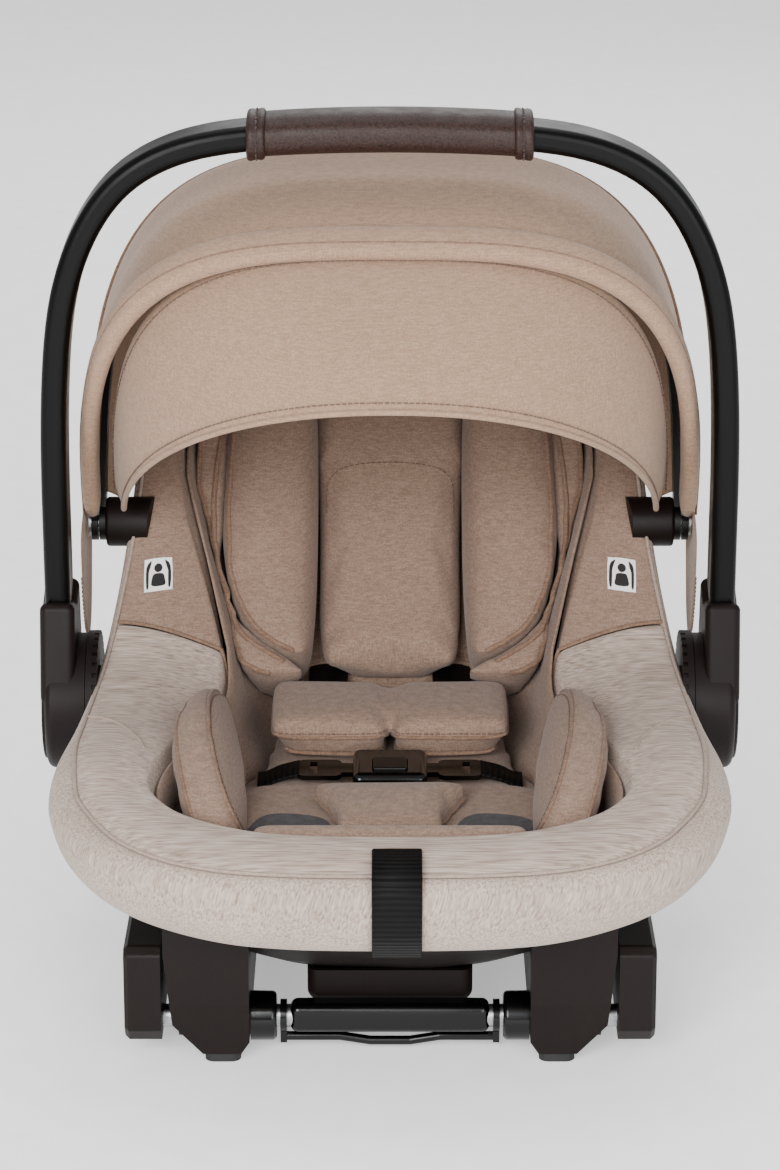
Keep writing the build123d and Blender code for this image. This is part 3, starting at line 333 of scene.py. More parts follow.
def leather(name):
    """Grained leatherette: pebbles about 1.2 mm, with painted shade darkening the creases, and a soft shine
    on top.
    """
    def surface(tree):
        place = add(tree, "ShaderNodeTexCoord").outputs["Object"]
        put = add(tree, "ShaderNodeMapping", {"Vector": place, "Scale": (800, 800, 800)})
        cells = add(tree, "ShaderNodeTexVoronoi", {"Vector": put.outputs[0], "Scale": 1.0},
                    feature="SMOOTH_F1")
        far = cells.outputs["Distance"]
        height = add(tree, "ShaderNodeMath", {0: 1.0, 1: far}, operation="SUBTRACT").outputs[0]
        # painted shade: the colour goes darker towards the low creases between the pebbles
        tint = tones(tree, height, [(0.2, "#1a0f0c"), (0.6, "#2c1c18"), (0.9, "#372520")])
        gloss = tones(tree, grains(tree, 12, 2.0), [(0.3, 0.42), (0.7, 0.55)])
        return height, tint, gloss
    return coated(name, "#3a2a27", 0.5, 0.00012, surface, **{"Specular IOR Level": 0.25})


RIB = 1.9                      # from rib to rib of the webbing


def webbing(name):
    """Polyester belt webbing: ribs across the belt every 1.9 mm and a bound edge, with a low sheen; painted
    shade in the grooves and painted highlight on the rib crests.
    """
    def surface(tree):
        place = add(tree, "ShaderNodeTexCoord").outputs["UV"]
        wave = add(tree, "ShaderNodeTexWave", {"Vector": place, "Scale": 1000 / RIB / 6.283,
                                                     "Distortion": 0.3},
                   bands_direction="X").outputs["Fac"]
        # painted shade and painted highlight: darker in the grooves between ribs, lighter on their crests
        tint = tones(tree, wave, [(0.0, "#020202"), (0.6, "#060606"), (1.0, "#0d0d0e")])
        return wave, tint, None
    return coated(name, "#1a1a1c", 0.55, 0.0004, surface, **{"Specular IOR Level": 0.12})


def metal(name, colour, roughness, metallic, grain):
    """Metal with the marks of its finish."""
    def surface(tree):
        fine = grains(tree, grain, 3.0)
        gloss = tones(tree, grains(tree, 30, 3.0), [(0.3, roughness - 0.05), (0.7, roughness + 0.07)])
        return fine, tones(tree, fine, [(0.2, brighter(colour, 0.85)), (0.8, brighter(colour, 1.1))]), gloss
    shine = {"Metallic": metallic} if metallic else {"Specular IOR Level": 0.14}
    return coated(name, colour, roughness, 0.00005, surface, **shine)


MELANGE_WALL = melange("polyester melange jersey, wales down", (1, 1, 16), (0, math.radians(-14), 0))
MELANGE_TOP = melange("polyester melange jersey, wales across", (20, 1.2, 1.2), (0, 0, 0))
TAUPE = heather("wool-look polyester knit, taupe", "#776052", "#866f60", "#957e6e")
CANOPY_TAUPE = heather("water-repellent polyester knit, taupe", "#8d715c", "#9a7e68", "#a78b75")
PIPING = heather("knit-covered piping, taupe", "#6a5142", "#7a604f", "#8a705e")
MELANGE_PIPING = heather("knit-covered piping, stone", "#8c7b6f", "#9b8a7e", "#a9988c")
THREAD = heather("polyester sewing thread, brown", "#5a463a", "#685145", "#765e51")
STONE_THREAD = heather("polyester sewing thread, stone", "#74665c", "#85776c", "#96877c")
DARK_THREAD = heather("polyester sewing thread, dark brown", "#2d2120", "#3a2b29", "#493734")
# charcoal knit for the dark patches laid on the insert beside the crotch pad
DARK_PATCH_KNIT = heather("charcoal knit, dark insert patches", "#2c2a2d", "#3a373a", "#47444a")
SHELL = moulded("polypropylene, moulded with a fine grain", "#120c0a", 0.5, **{"Specular IOR Level": 0.16})
BUTTON = moulded("ABS, moulded and satin", "#060505", 0.40, **{"Specular IOR Level": 0.25})
GLOSS = moulded("polyamide, moulded and polished", "#020202", 0.18, 2.0, 0.00002,
                 **{"Specular IOR Level": 0.35})
RUBBER = moulded("thermoplastic rubber, matt", "#151515", 0.75, 0.6)
TUBE = metal("aluminium, powder-coated satin black", "#020202", 0.34, 0.0, 0.5)
STEEL = metal("steel, zinc-plated", "#b4b5b8", 0.32, 1.0, 0.8)
LEATHER = leather("leatherette, grained brown")
WEBBING = webbing("polyester belt webbing, black")
LABEL = moulded("woven label, white", "#e9e7e3", 0.6, 0.5)
LABEL_INK = moulded("label ink, black", "#141414", 0.55, 0.5)


# ---- camera, light and floor -------------------------------------------------------------------
CAMERA_DOWN, CAMERA_RAISED = 20, 1.61   # degrees: down towards the pivots, then up a little
CAMERA_FAR, LENS = 2.6, 125.6
# name, place, size and power in watts
LAMPS = (("key", (-0.9, -2.7, 1.35), 1.4, 92), ("fill", (1.1, -2.8, 1.0), 1.6, 48),
         ("top", (0.0, 0.5, 2.8), 1.6, 22), ("back", (0.3, 2.4, 1.6), 1.6, 16))
LIT_PLACE = Vector((0, 0, 0.2))
FLOOR_HALF = 6000


def studio():
    tilt = math.radians(CAMERA_DOWN)
    aim = Vector((0, HUB_Y / 1000, HANDLE_Z / 1000))
    camera = bpy.data.cameras.new("camera")
    camera.sensor_fit = "VERTICAL"
    camera.sensor_height = 36
    camera.lens = LENS
    camera.clip_end = 50
    seen = bpy.data.objects.new("camera", camera)
    seen.location = aim + Vector((0, -math.cos(tilt), math.sin(tilt))) * CAMERA_FAR
    seen.rotation_euler = (math.radians(90 - CAMERA_DOWN + CAMERA_RAISED), 0, 0)
    bpy.context.scene.collection.objects.link(seen)
    bpy.context.scene.camera = seen
    world = bpy.data.worlds.new("studio")
    bpy.context.scene.world = world
    world.use_nodes = True
    ground = world.node_tree.nodes["Background"]
    ground.inputs["Color"].default_value = linear("#f4f4f6")
    ground.inputs["Strength"].default_value = 0.72
    for name, place, size, power in LAMPS:
        lamp = bpy.data.lights.new(name, "AREA")
        lamp.size = size
        lamp.energy = power
        held = bpy.data.objects.new(name, lamp)
        held.location = place
        held.rotation_euler = (LIT_PLACE - Vector(place)).to_track_quat("-Z", "Y").to_euler()
        bpy.context.scene.collection.objects.link(held)
    corners = [(x * FLOOR_HALF, y * FLOOR_HALF, 0) for x, y in ((-1, -1), (1, -1), (1, 1), (-1, 1))]
    floor = shape("floor", corners, [(0, 1, 2, 3)])
    floor.data.materials.append(moulded("painted studio floor", "#f6f6f6", 0.7, 6.0, 0.00001,
                                        **{"Emission Color": (1, 1, 1, 1), "Emission Strength": 0.5}))


studio()


# ---- seams: stitches and piping by geometry nodes ------------------------------------------------
def sewing_tree(name, sockets, build):
    tree = bpy.data.node_groups.new(name, "GeometryNodeTree")
    tree.interface.new_socket("Geometry", in_out="INPUT", socket_type="NodeSocketGeometry")
    keys = {}
    for label, kind in sockets:
        keys[label] = tree.interface.new_socket(label, in_out="INPUT", socket_type=kind).identifier
    tree.interface.new_socket("Geometry", in_out="OUTPUT", socket_type="NodeSocketGeometry")
    given = add(tree, "NodeGroupInput").outputs
    real = add(tree, "GeometryNodeRealizeInstances", {"Geometry": build(tree, given)})
    smooth = add(tree, "GeometryNodeSetShadeSmooth", {"Geometry": real.outputs[0]})
    dyed = add(tree, "GeometryNodeSetMaterial",
               {"Geometry": smooth.outputs[0], "Material": given["Material"]})
    add(tree, "NodeGroupOutput", {"Geometry": dyed.outputs[0]})
    return tree, keys


def stitch_run(tree, given):
    """Short lengths of thread, end to end along the seam with a gap between them."""
    line = add(tree, "GeometryNodeMeshToCurve", {"Mesh": given["Geometry"]}).outputs[0]
    spaced = add(tree, "GeometryNodeResampleCurve", {"Curve": line, "Length": given["Pitch"]}, mode="LENGTH")
    thread = add(tree, "GeometryNodeMeshCylinder", {"Vertices": 6, "Radius": given["Thread Radius"],
                                                     "Depth": given["Stitch Length"]})
    way = add(tree, "FunctionNodeAlignRotationToVector",
              {"Vector": add(tree, "GeometryNodeInputTangent").outputs[0]}, axis="Z")
    laid = add(tree, "GeometryNodeInstanceOnPoints",
               {"Points": spaced.outputs[0], "Instance": thread.outputs["Mesh"], "Rotation": way.outputs[0]})
    return laid.outputs[0]


def cord_run(tree, given):
    """A round cord along the seam."""
    line = add(tree, "GeometryNodeMeshToCurve", {"Mesh": given["Geometry"]}).outputs[0]
    ring = add(tree, "GeometryNodeCurvePrimitiveCircle", {"Resolution": 8, "Radius": given["Cord Radius"]})
    return add(tree, "GeometryNodeCurveToMesh", {"Curve": line, "Profile Curve": ring.outputs[0],
                                                 "Fill Caps": True}).outputs[0]


STITCH_TREE, STITCH_KEYS = sewing_tree(
    "stitches", [("Pitch", "NodeSocketFloat"), ("Stitch Length", "NodeSocketFloat"),
                 ("Thread Radius", "NodeSocketFloat"), ("Material", "NodeSocketMaterial")], stitch_run)
CORD_TREE, CORD_KEYS = sewing_tree(
    "piping", [("Cord Radius", "NodeSocketFloat"), ("Material", "NodeSocketMaterial")], cord_run)


def sewn(name, lines, tree, keys, values, closed=False):
    """Runs a sewing tree along lines of points in the frame, and gives back a plain mesh."""
    points, edges = [], []
    for line in lines:
        first = len(points)
        points += [tuple(p) for p in line]
        edges += [(first + i, first + i + 1) for i in range(len(line) - 1)]
        if closed:
            edges.append((len(points) - 1, first))
    mesh = bpy.data.meshes.new(name)
    mesh.from_pydata(points, edges, [])
    obj = bpy.data.objects.new(name, mesh)
    bpy.context.scene.collection.objects.link(obj)
    run = obj.modifiers.new("sewing", "NODES")
    run.node_group = tree
    for label, value in values.items():
        run[keys[label]] = value
    return finished(obj)


def stitches(name, lines, thread, body="root", pitch=3.6, length=2.6, radius=0.42, closed=False):
    made = sewn(name, lines, STITCH_TREE, STITCH_KEYS,
                {"Pitch": pitch / 1000, "Stitch Length": length / 1000, "Thread Radius": radius / 1000,
                 "Material": thread}, closed)
    return fit(made, None, body)


def piping(name, lines, cloth, body="root", radius=1.1, closed=False):
    made = sewn(name, lines, CORD_TREE, CORD_KEYS, {"Cord Radius": radius / 1000, "Material": cloth}, closed)
    return fit(made, None, body)


def surface_of(obj):
    """A piece's surface, to be asked for its nearest point."""
    bm = bmesh.new()
    bm.from_mesh(obj.data)
    tree = BVHTree.FromBMesh(bm)
    bm.free()
    return tree


def laid_on(obj, points, lift=0.2, steps=6):
    """The points in millimetres as a smooth line on the surface of a piece, lift above it."""
    tree = surface_of(obj)
    line = []
    for p in rounded(points, steps):
        place, normal, _, _ = tree.find_nearest(metres(p))
        line.append(place + normal * lift / 1000)
    return line


# ---- the tub's own lines -------------------------------------------------------------------------
def outline(side, front, rear):
    """The tub's outline at one height, in stations that match from height to height."""
    nose, waist, shoulder, head = 202 - side, 182 - side, 165 - side, 150 - side
    half = [(nose * .50, -283), (nose * .82, -250), (nose * .97, -206), (nose, -160), (waist + 12, -85),
            (waist, 0), (shoulder, 74), (shoulder - 8, 196), (head * .93, 260), (head * .62, 306)]
    corners = [(0, TUB_FRONT)] + half + [(0, TUB_REAR)] + [(-x, y) for x, y in reversed(half)]
    y0, y1 = TUB_FRONT + front, TUB_REAR - rear
    squeeze = (y1 - y0) / (TUB_REAR - TUB_FRONT)
    return rounded([(x, y0 + (y - TUB_FRONT) * squeeze, 0) for x, y in corners], AROUND, closed=True)


STATIONS = 22 * AROUND
OUTLINES = {}


def tub_point(station, height, inset=0.0, levels=TUB_LEVELS):
    """Where a station of the tub, or of its hollow, is at a height."""
    key = (round(height * 4), inset, len(levels))
    if key not in OUTLINES:
        side, front, rear = between(levels, height)
        OUTLINES[key] = outline(side + inset, front + inset, rear + inset)
    p = OUTLINES[key][station % STATIONS]
    return Vector((p.x, p.y, height))


def on_line(station, line, drop=0.0, inset=0.0, levels=TUB_LEVELS):
    """Where a station meets a line drawn on the side view, drop below it."""
    height = 200.0
    for _ in range(14):
        height += (between(line, tub_point(station, height, inset, levels).y)[0] - drop - height) * 0.6
    return tub_point(station, height, inset, levels)


def outward(station, height):
    """Level direction away from the tub at a station."""
    a, b = tub_point(station - 1, height), tub_point(station + 1, height)
    side = Vector((b.y - a.y, a.x - b.x, 0)).normalized()
    middle = Vector((0, 0, 0)) if abs(tub_point(station, height).y) < 120 else Vector((0, 20, 0))
    return side if side.dot(tub_point(station, height) - middle) > 0 else -side


SEAM_INSETS = [(-300, 7.0), (-270, 9.0), (-230, 15.0), (-190, 15.0), (-110, 7.0), (-20, 3.0), (200, 3.0)]
INNER_SINKS = [(-290, 2.0), (-150, 4.0), (-60, 8.0), (0, 13.0), (60, 10.0), (150, 4.0), (300, 2.0)]


def seam_inset(y):
    """How far the padding rolls in over the rim before the outer seam: most round the bumper's corners."""
    return between(SEAM_INSETS, y)[0]


def seam_point(station, lift=0.0):
    """Where the outer seam of the rim lies at a station."""
    edge = on_line(station, RIM)
    return edge - outward(station, edge.z) * seam_inset(edge.y) + Vector((0, 0, lift - 1.5))


def skirt_point(station):
    """Where the cover's hem turns in: lower at the front, so that it hides the tub's edge."""
    drop = between([(-300, 5.0), (-200, 3.0), (-100, 0.0)], on_line(station, SKIRT).y)[0]
    return on_line(station, SKIRT, drop)


COVER = 2.0                    # thickness of the rim's cover
ROLL = 14.0                    # height over which the wall rolls in to the seam
WALL_PADDING = 2.6             # the wall's cover over the tub
CROWN = 4.5                    # rise of the rim's top between its edges
WALL_STEPS, ROLL_STEPS, TOP_STEPS = 9, 6, 12


def rim_wall_row(station):
    """Section of the padded wall: up the outside from the turned-in hem, and rolled in to the seam."""
    low, edge = skirt_point(station), on_line(station, RIM)
    away = outward(station, (low.z + edge.z) / 2)
    shoulder = on_line(station, RIM, ROLL)
    row = [low - away * 9 + Vector((0, 0, 5)), low - away * 6 + Vector((0, 0, 0.6)), low - away * 2]
    for k in range(WALL_STEPS + 1):
        share = k / WALL_STEPS
        height = low.z + 2.5 + (shoulder.z - low.z - 2.5) * share
        row.append(tub_point(station, height) + away * WALL_PADDING * math.sin(math.pi * share / 2) ** 0.7)
    seam = seam_point(station)
    start = row[-1]
    for k in range(1, ROLL_STEPS + 1):
        turn = math.pi / 2 * k / ROLL_STEPS
        level = start.lerp(seam, 1 - math.cos(turn))
        row.append(Vector((level.x, level.y, start.z + (seam.z - start.z) * math.sin(turn))))
    row += [seam - away * 2.5 - Vector((0, 0, 1.4)), seam - away * 6 - Vector((0, 0, 5))]
    return row


def hollow_edge():
    """The inner edge of the rim, with a share between two stations for every point."""
    points = [on_line(s, RIM, 0, 0, HOLLOW_LEVELS) for s in range(STATIONS)]
    return [(s + k / 6, points[s].lerp(points[(s + 1) % STATIONS], k / 6))
            for s in range(STATIONS) for k in range(6)]


HOLLOW_EDGE = hollow_edge()


def hollow_point(at, drop):
    """A point of the hollow, drop under its edge, at a place between two stations."""
    s = int(at)
    a, b = (on_line(n, RIM, drop, 0, HOLLOW_LEVELS) for n in (s % STATIONS, (s + 1) % STATIONS))
    return a.lerp(b, at - s)


def rim_top_row(station):
    """Section of the padded rim: from the outer seam over the top and down into the seat."""
    edge = on_line(station, RIM)
    start = seam_point(station)
    at = min(HOLLOW_EDGE, key=lambda e: (e[1].x - edge.x) ** 2 + (e[1].y - edge.y) ** 2)[0]
    sink = between(INNER_SINKS, edge.y)[0]
    inner, low = hollow_point(at, sink), hollow_point(at, sink + 24)
    over = inner - start
    across = Vector((over.x, over.y, 0)).normalized()
    row = [start + across * 5 - Vector((0, 0, 5)), start + across * 0.6 - Vector((0, 0, 0.8)),
           start + across * 0.8 + Vector((0, 0, 1.0))]
    for k in range(1, TOP_STEPS):
        share = k / TOP_STEPS
        p = start + over * share
        p.z += CROWN * math.sin(math.pi * share ** 0.8) ** 0.8
        row.append(p)
    row += [inner - across * 1.2 + Vector((0, 0, 0.8)), inner + across * 0.3 - Vector((0, 0, 4)),
            (inner + low) / 2 - Vector((0, 0, 2)), low, low - across * 6 - Vector((0, 0, 1))]
    return row


def station_span(behind):
    """Stations of the rim in front of, or behind, the pivots."""
    back = [s for s in range(STATIONS) if on_line(s, RIM).y >= TAUPE_FROM]
    first, last = min(back), max(back)
    if behind:
        return list(range(first, last + 1))
    return list(range(last, STATIONS + first + 1))


def rim():
    """Padded cover of the rim: stone melange round the wall and the arms, taupe behind the pivots."""
    wall = skin("rim_wall_cover", [rim_wall_row(s) for s in range(STATIONS)], ring=True, centre=(0, 0, 150))
    wall = thick(wall, COVER)
    fit(wall, MELANGE_WALL, nodes=["rim_cover"])
    for name, behind, cloth, slot, node in (
            ("rim_arm_cover", False, MELANGE_TOP, "melange_knit", "rim_cover"),
            ("rim_head_cover", True, TAUPE, "taupe_knit", "side_panels")):
        rows = [rim_top_row(s) for s in station_span(behind)]
        top = thick(skin(name, rows, centre=(0, 20, -200)), COVER)
        fit(top, cloth, nodes=[node])
    edge = [metres(seam_point(s, 1.0)) for s in range(STATIONS)]
    piping("rim_piping", [edge], MELANGE_PIPING, radius=1.2, closed=True)
    hem = [metres(skirt_point(s) + Vector((0, 0, 5)) + outward(s, 110) * 1.6) for s in range(STATIONS)]
    stitches("rim_hem_stitches", [hem], STONE_THREAD, closed=True)
    join = []
    for side in (station_span(True)[0], station_span(True)[-1]):
        join.append([metres(p + Vector((0, 0, 0.5))) for p in rim_top_row(side)[2:17]])
    piping("rim_colour_seam", join, PIPING, radius=1.2)


def lining():
    """Knit lining of the hollow, from under the rim to the floor."""
    rows = []
    for s in range(STATIONS):
        rows.append([tub_point(s, z, 2.2, HOLLOW_LEVELS) for z in (80, 96, 118, 140)]
                    + [on_line(s, RIM, d, 2.2, HOLLOW_LEVELS) for d in (34, 22, 12)])
        for k in range(4, 7):
            rows[-1][k].z = max(rows[-1][k].z, rows[-1][k - 1].z + 1)
    made = thick(skin("seat_lining_cloth", rows, ring=True, centre=(0, 0, 5000)), 1.5, 0)
    fit(made, TAUPE, nodes=["seat_lining", "foam_liner"])


rim()
lining()


# ---- canopy --------------------------------------------------------------------------------------
PANEL_STEPS, BAND_STEPS, VISOR_STEPS = 26, 16, 14


def canopy_rise(tilt):
    """Pivot to the top of an arch leaning back by tilt degrees."""
    dip = math.sin(math.radians(min(max(tilt - BOW_TILT, 0), 90)))
    return CANOPY_RISE - MID_DIP * dip ** 2 + REAR_LIFT * max(0, (tilt - 40) / 33) ** 2


def canopy_half(tilt):
    """Half width of an arch: a little less at the mid bow, and less again towards the rear."""
    narrower = MID_NARROWER * (tilt > 0) * min(tilt / MID_TILT, 1)
    return CANOPY_HALF - narrower - REAR_NARROWER * max(0, (tilt - MID_TILT) / (REAR_TILT - MID_TILT)) ** 1.5


def arch(tilt, inset=0.0, half=None, rise=None, power=ARCH_POWER, start=20.0, count=64, forward=0.0):
    """Points of one arch of the canopy, from the left mount over the top to the right one."""
    a = (half if half else canopy_half(tilt)) - inset
    b = (rise if rise else canopy_rise(tilt)) - inset
    lean = math.radians(tilt)
    first = math.asin(min(1, (start / b) ** (power / 2)))
    line = []
    for i in range(count + 1):
        s = first + (math.pi - 2 * first) * i / count
        x = a * math.copysign(abs(math.cos(s)) ** (2 / power), math.cos(s))
        rho = b * math.sin(s) ** (2 / power)
        line.append(Vector((x, CANOPY_Y + rho * math.sin(lean) - forward * math.cos(lean),
                            CANOPY_Z + rho * math.cos(lean) + forward * math.sin(lean))))
    return line


def canopy_panel(name, first, last, near, sag, node):
    """Cloth stretched between two bows, sagging a little between them."""
    rows = []
    for i in range(PANEL_STEPS + 1):
        share = i / PANEL_STEPS
        slack = sag * math.sin(math.pi * share) ** 1.2
        rows.append(arch(first + (last - first) * share, near + (1.0 - near) * min(1, share * 3) + slack))
    cloth = thick(skin(name, rows, centre=(0, CANOPY_Y, CANOPY_Z)), 1.6, 1)
    cloth.data.materials.append(CANOPY_TAUPE)
    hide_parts(node)
    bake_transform(cloth)
    return cloth


def canopy_band():
    """Padded hem round the front bow, rolled over its strip."""
    ring = []
    for i in range(BAND_STEPS):
        turn = 2 * math.pi * i / BAND_STEPS
        ring.append((4 + 13 * math.copysign(abs(math.cos(turn)) ** 0.7, math.cos(turn)),
                     6 * math.copysign(abs(math.sin(turn)) ** 0.8, math.sin(turn))))
    lines = [arch(BOW_TILT, 6.2 - out, start=12.0, forward=along) for along, out in ring]
    rows = [[line[i] for line in lines] for i in range(len(lines[0]))]
    band = skin("canopy_front_band", rows, tube=True)
    smoothed(band)
    finished(band)
    fit(band, CANOPY_TAUPE, "canopy_front")
    seam = [metres(p) for p in arch(BOW_TILT, 0.9, forward=9.0, start=16.0)]
    piping("canopy_band_seam", [seam], PIPING, "canopy_front", radius=0.8)


def visor_row(share, inset=0.0):
    return arch(-30 - 28 * share, inset, 177 - 5 * share, 243.5 + 12 * share, ARCH_POWER - 1.15 * share, 32.0)


def visor():
    """Sun visor under the front band: one curved sheet with a stitched hem."""
    rows = [visor_row(i / VISOR_STEPS, 0.8) for i in range(VISOR_STEPS + 1)]
    cloth = thick(skin("canopy_visor_cloth", rows, centre=(0, CANOPY_Y, CANOPY_Z)), 1.8, 1)
    fit(cloth, CANOPY_TAUPE, "visor", ["canopy_visor"])
    edge = [metres(p) for p in visor_row(1.0, 1.4)]
    piping("visor_hem", [edge], CANOPY_TAUPE, "visor", radius=1.9)
    for name, share in (("visor_hem_stitches", 0.955), ("visor_top_stitches", 0.10)):
        stitches(name, [[metres(p) for p in visor_row(share, 0.1)]], THREAD, "visor")
    return cloth


def canopy():
    front = canopy_panel("canopy_front_cloth", BOW_TILT, MID_TILT, 8.5, 8.0, "canopy_front_panel")
    rear = canopy_panel("canopy_rear_cloth", MID_TILT, REAR_TILT, 1.0, 4.0, "canopy_rear_panel")
    canopy_band()
    ridge = [metres(p) for p in arch(MID_TILT, 0.4, start=22.0)]
    piping("canopy_ridge_seam", [ridge], PIPING, "canopy_mid", radius=1.3)
    sun = visor()


canopy()


# ---- stuffed pads --------------------------------------------------------------------------------
# Each pad's CAD node, and how far in metres its cloth may swell from the eased solid.
PADS = [("back_pad", 0.004), ("seat_pad", 0.003), ("insert_base", 0.004), ("head_ring", 0.004),
        ("head_wings", 0.005), ("centre_panel", 0.005), ("side_bolsters", 0.009), ("front_roll", 0.003),
        ("shoulder_pads", 0.0025), ("crotch_pad", 0.004)]
PRESSURE = 4
CLOTH_FRAMES = 20
VOXEL = 0.005


def pad_form(node):
    """A closed skin on a pad's solid, eased inwards so that it has room to swell."""
    mesh = CAD[node].data.copy()
    bm = bmesh.new()
    bm.from_mesh(mesh)
    bmesh.ops.remove_doubles(bm, verts=bm.verts, dist=1e-5)
    bm.to_mesh(mesh)
    bm.free()
    obj = bpy.data.objects.new(node + "_cloth", mesh)
    bpy.context.scene.collection.objects.link(obj)
    remesh = obj.modifiers.new("skin", "REMESH")
    remesh.mode = "VOXEL"
    remesh.voxel_size = VOXEL
    ease = obj.modifiers.new("ease", "SMOOTH")
    ease.iterations = 6
    ease.factor = 0.5
    return finished(obj)


def swollen(pads):
    """Blows the pads up as stuffed cloth, all in one run, and keeps each point near its start."""
    scene = bpy.context.scene
    starts = {}
    for obj, _ in pads:
        starts[obj] = [v.co.copy() for v in obj.data.vertices]
        cloth = obj.modifiers.new("stuffing", "CLOTH")
        cloth.settings.use_pressure = True
        cloth.settings.uniform_pressure_force = PRESSURE
        cloth.settings.quality = 4
        cloth.settings.mass = 0.3
        cloth.settings.effector_weights.gravity = 0
        cloth.collision_settings.use_collision = False
    for moment in range(1, CLOTH_FRAMES + 1):
        scene.frame_set(moment)
    graph = bpy.context.evaluated_depsgraph_get()
    for obj, cap in pads:
        blown = [v.co.copy() for v in obj.evaluated_get(graph).data.vertices]
        obj.modifiers.clear()
        for vertex, start, end in zip(obj.data.vertices, starts[obj], blown):
            move = end - start
            far = move.length
            vertex.co = start + move * (min(far, cap) / far) if far > 0 else start
    scene.frame_set(1)


def stuffed_pads():
    pads = [(pad_form(node), cap) for node, cap in PADS]
    swollen(pads)
    made = {}
    for (obj, _), (node, _) in zip(pads, PADS):
        ease = obj.modifiers.new("ease", "SMOOTH")
        ease.iterations = 3
        smoothed(obj)
        finished(obj)
        for face in obj.data.polygons:
            face.use_smooth = True
        fit(obj, TAUPE, CAD[node]["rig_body"], [node])
        made[node] = obj
    return made


PAD = stuffed_pads()


# ---- straps --------------------------------------------------------------------------------------
def ribbon(name, points, across, width, node, body="root", thickness=1.8, steps=6):
    """Flat webbing along a line, with rounded bound edges and a length-wise pattern."""
    line = rounded(points, steps)
    side = Vector(across).normalized()
    half, thin = width / 2, thickness / 2
    section = [(-half, 0), (-half + 0.8, thin), (0, thin * 1.05), (half - 0.8, thin), (half, 0),
               (half - 0.8, -thin), (0, -thin), (-half + 0.8, -thin)]
    rows = []
    travelled = [0.0]
    for i, p in enumerate(line):
        if i:
            travelled.append(travelled[-1] + (p - line[i - 1]).length)
        ahead = (line[min(i + 1, len(line) - 1)] - line[max(i - 1, 0)]).normalized()
        up = side.cross(ahead).normalized()
        rows.append([p + side * a + up * b for a, b in section])
    wide = len(section)
    points3 = [p for row in rows for p in row]
    faces = [(i * wide + k, i * wide + (k + 1) % wide, (i + 1) * wide + (k + 1) % wide, (i + 1) * wide + k)
             for i in range(len(rows) - 1) for k in range(wide)]
    faces += [tuple(reversed(range(wide))), tuple((len(rows) - 1) * wide + k for k in range(wide))]
    obj = shape(name, points3, faces)
    turned_out(obj)
    layer = obj.data.uv_layers.new(name="strap")
    for loop in obj.data.loops:
        row, place = divmod(loop.vertex_index, wide)
        layer.data[loop.index].uv = (travelled[row] / 1000, section[place][0] / 1000)
    return fit(obj, WEBBING, body, [node])


def straps():
    over = [(-262, 158.4), (-277, 157.4), (-288, 154), (-293.4, 147), (-293.6, 138), (-291.2, 126),
            (-285.6, 112), (-275, 100), (-269, 95)]
    ribbon("adjuster_strap_web", [(4, y, z) for y, z in over], (1, 0, 0), 29, "adjuster_strap")
    under = [Vector((4, y, 44.2)) for y in (-38, 30, 100)]
    under += [Vector((4, tub_point(STATIONS // 2, z, 10.5).y, z)) for z in (48, 56, 68, 84, 106, 130)]
    ribbon("harness_under_web", under, (1, 0, 0), 29, "harness_strap_under")
    ribbon("crotch_web", [(0, -83.1, z) for z in (58, 80, 105, 129)], (1, 0, 0), 24, "crotch_strap")
    for side, hand in SIDES:
        lap = [(side * x, -79.5, z) for x, z in ((56, 139), (68, 135.8), (76, 132.0), (82, 131.0))]
        ribbon("lap_web_" + hand, lap, (0, 1, 0), 25, "lap_straps")
        ribbon("shoulder_web_" + hand, [(side * 40, y, 153.3) for y in (-8, 60, 180, 282)], (1, 0, 0), 25,
               "shoulder_straps")


def blended_disc(name, corners, place, rings=5, steps=4):
    """A soft patch: rings of a rounded outline drawn in to its middle. place makes (a, b, share) a point."""
    edge = rounded([(a, b, 0) for a, b in corners], steps, closed=True)
    middle = sum(edge, Vector()) / len(edge)
    points = [place(middle.x, middle.y, 0.0)]
    for ring in range(1, rings + 1):
        share = ring / rings
        points += [place(middle.x + (p.x - middle.x) * share, middle.y + (p.y - middle.y) * share, share)
                   for p in edge]
    n = len(edge)
    faces = [(0, 1 + k, 1 + (k + 1) % n) for k in range(n)]
    for ring in range(rings - 1):
        a, b = 1 + ring * n, 1 + (ring + 1) * n
        faces += [(a + k, b + k, b + (k + 1) % n, a + (k + 1) % n) for k in range(n)]
    return shape(name, points, faces)


def side_flaps():
    """Lower corners of the canopy, hanging over the pivots."""
    corners = [(34, 262), (30, 225), (52, 182), (78, 174), (100, 196), (112, 262)]
    for side, hand in SIDES:
        flap = blended_disc("canopy_flap_" + hand, corners,
                            lambda a, b, share: (side * (195.2 + 1.6 * (1 - share * share)), a, b), steps=6)
        flap = thick(flap, 1.4, 1)
        turned_out(flap)
        fit(flap, CANOPY_TAUPE, "root", ["canopy_side_flaps"])
        inside = [(side * 198, 71 + (a - 71) * 0.92, 222 + (b - 222) * 0.92) for a, b in corners[1:5]]
        edge = laid_on(flap, inside)
        stitches("canopy_flap_stitches_" + hand, [edge], THREAD)


# ---- handle grip ---------------------------------------------------------------------------------
def handle_height(x):
    """Middle of the handle tube near its top."""
    return HANDLE_Z + HANDLE_TOP * (1 - 0.008 * (x / 84) ** 2 - 0.0005 * (x / 84) ** 6)


def sleeve_section(x, deep, high, power=2.7, count=32):
    """A squared oval round the handle, deep and high from its middle."""
    row = []
    for i in range(count):
        turn = 2 * math.pi * i / count
        along = math.copysign(abs(math.cos(turn)) ** (2 / power), math.cos(turn))
        up = math.copysign(abs(math.sin(turn)) ** (2 / power), math.sin(turn))
        row.append(Vector((x, deep * along, handle_height(x) + high * up)))
    return row


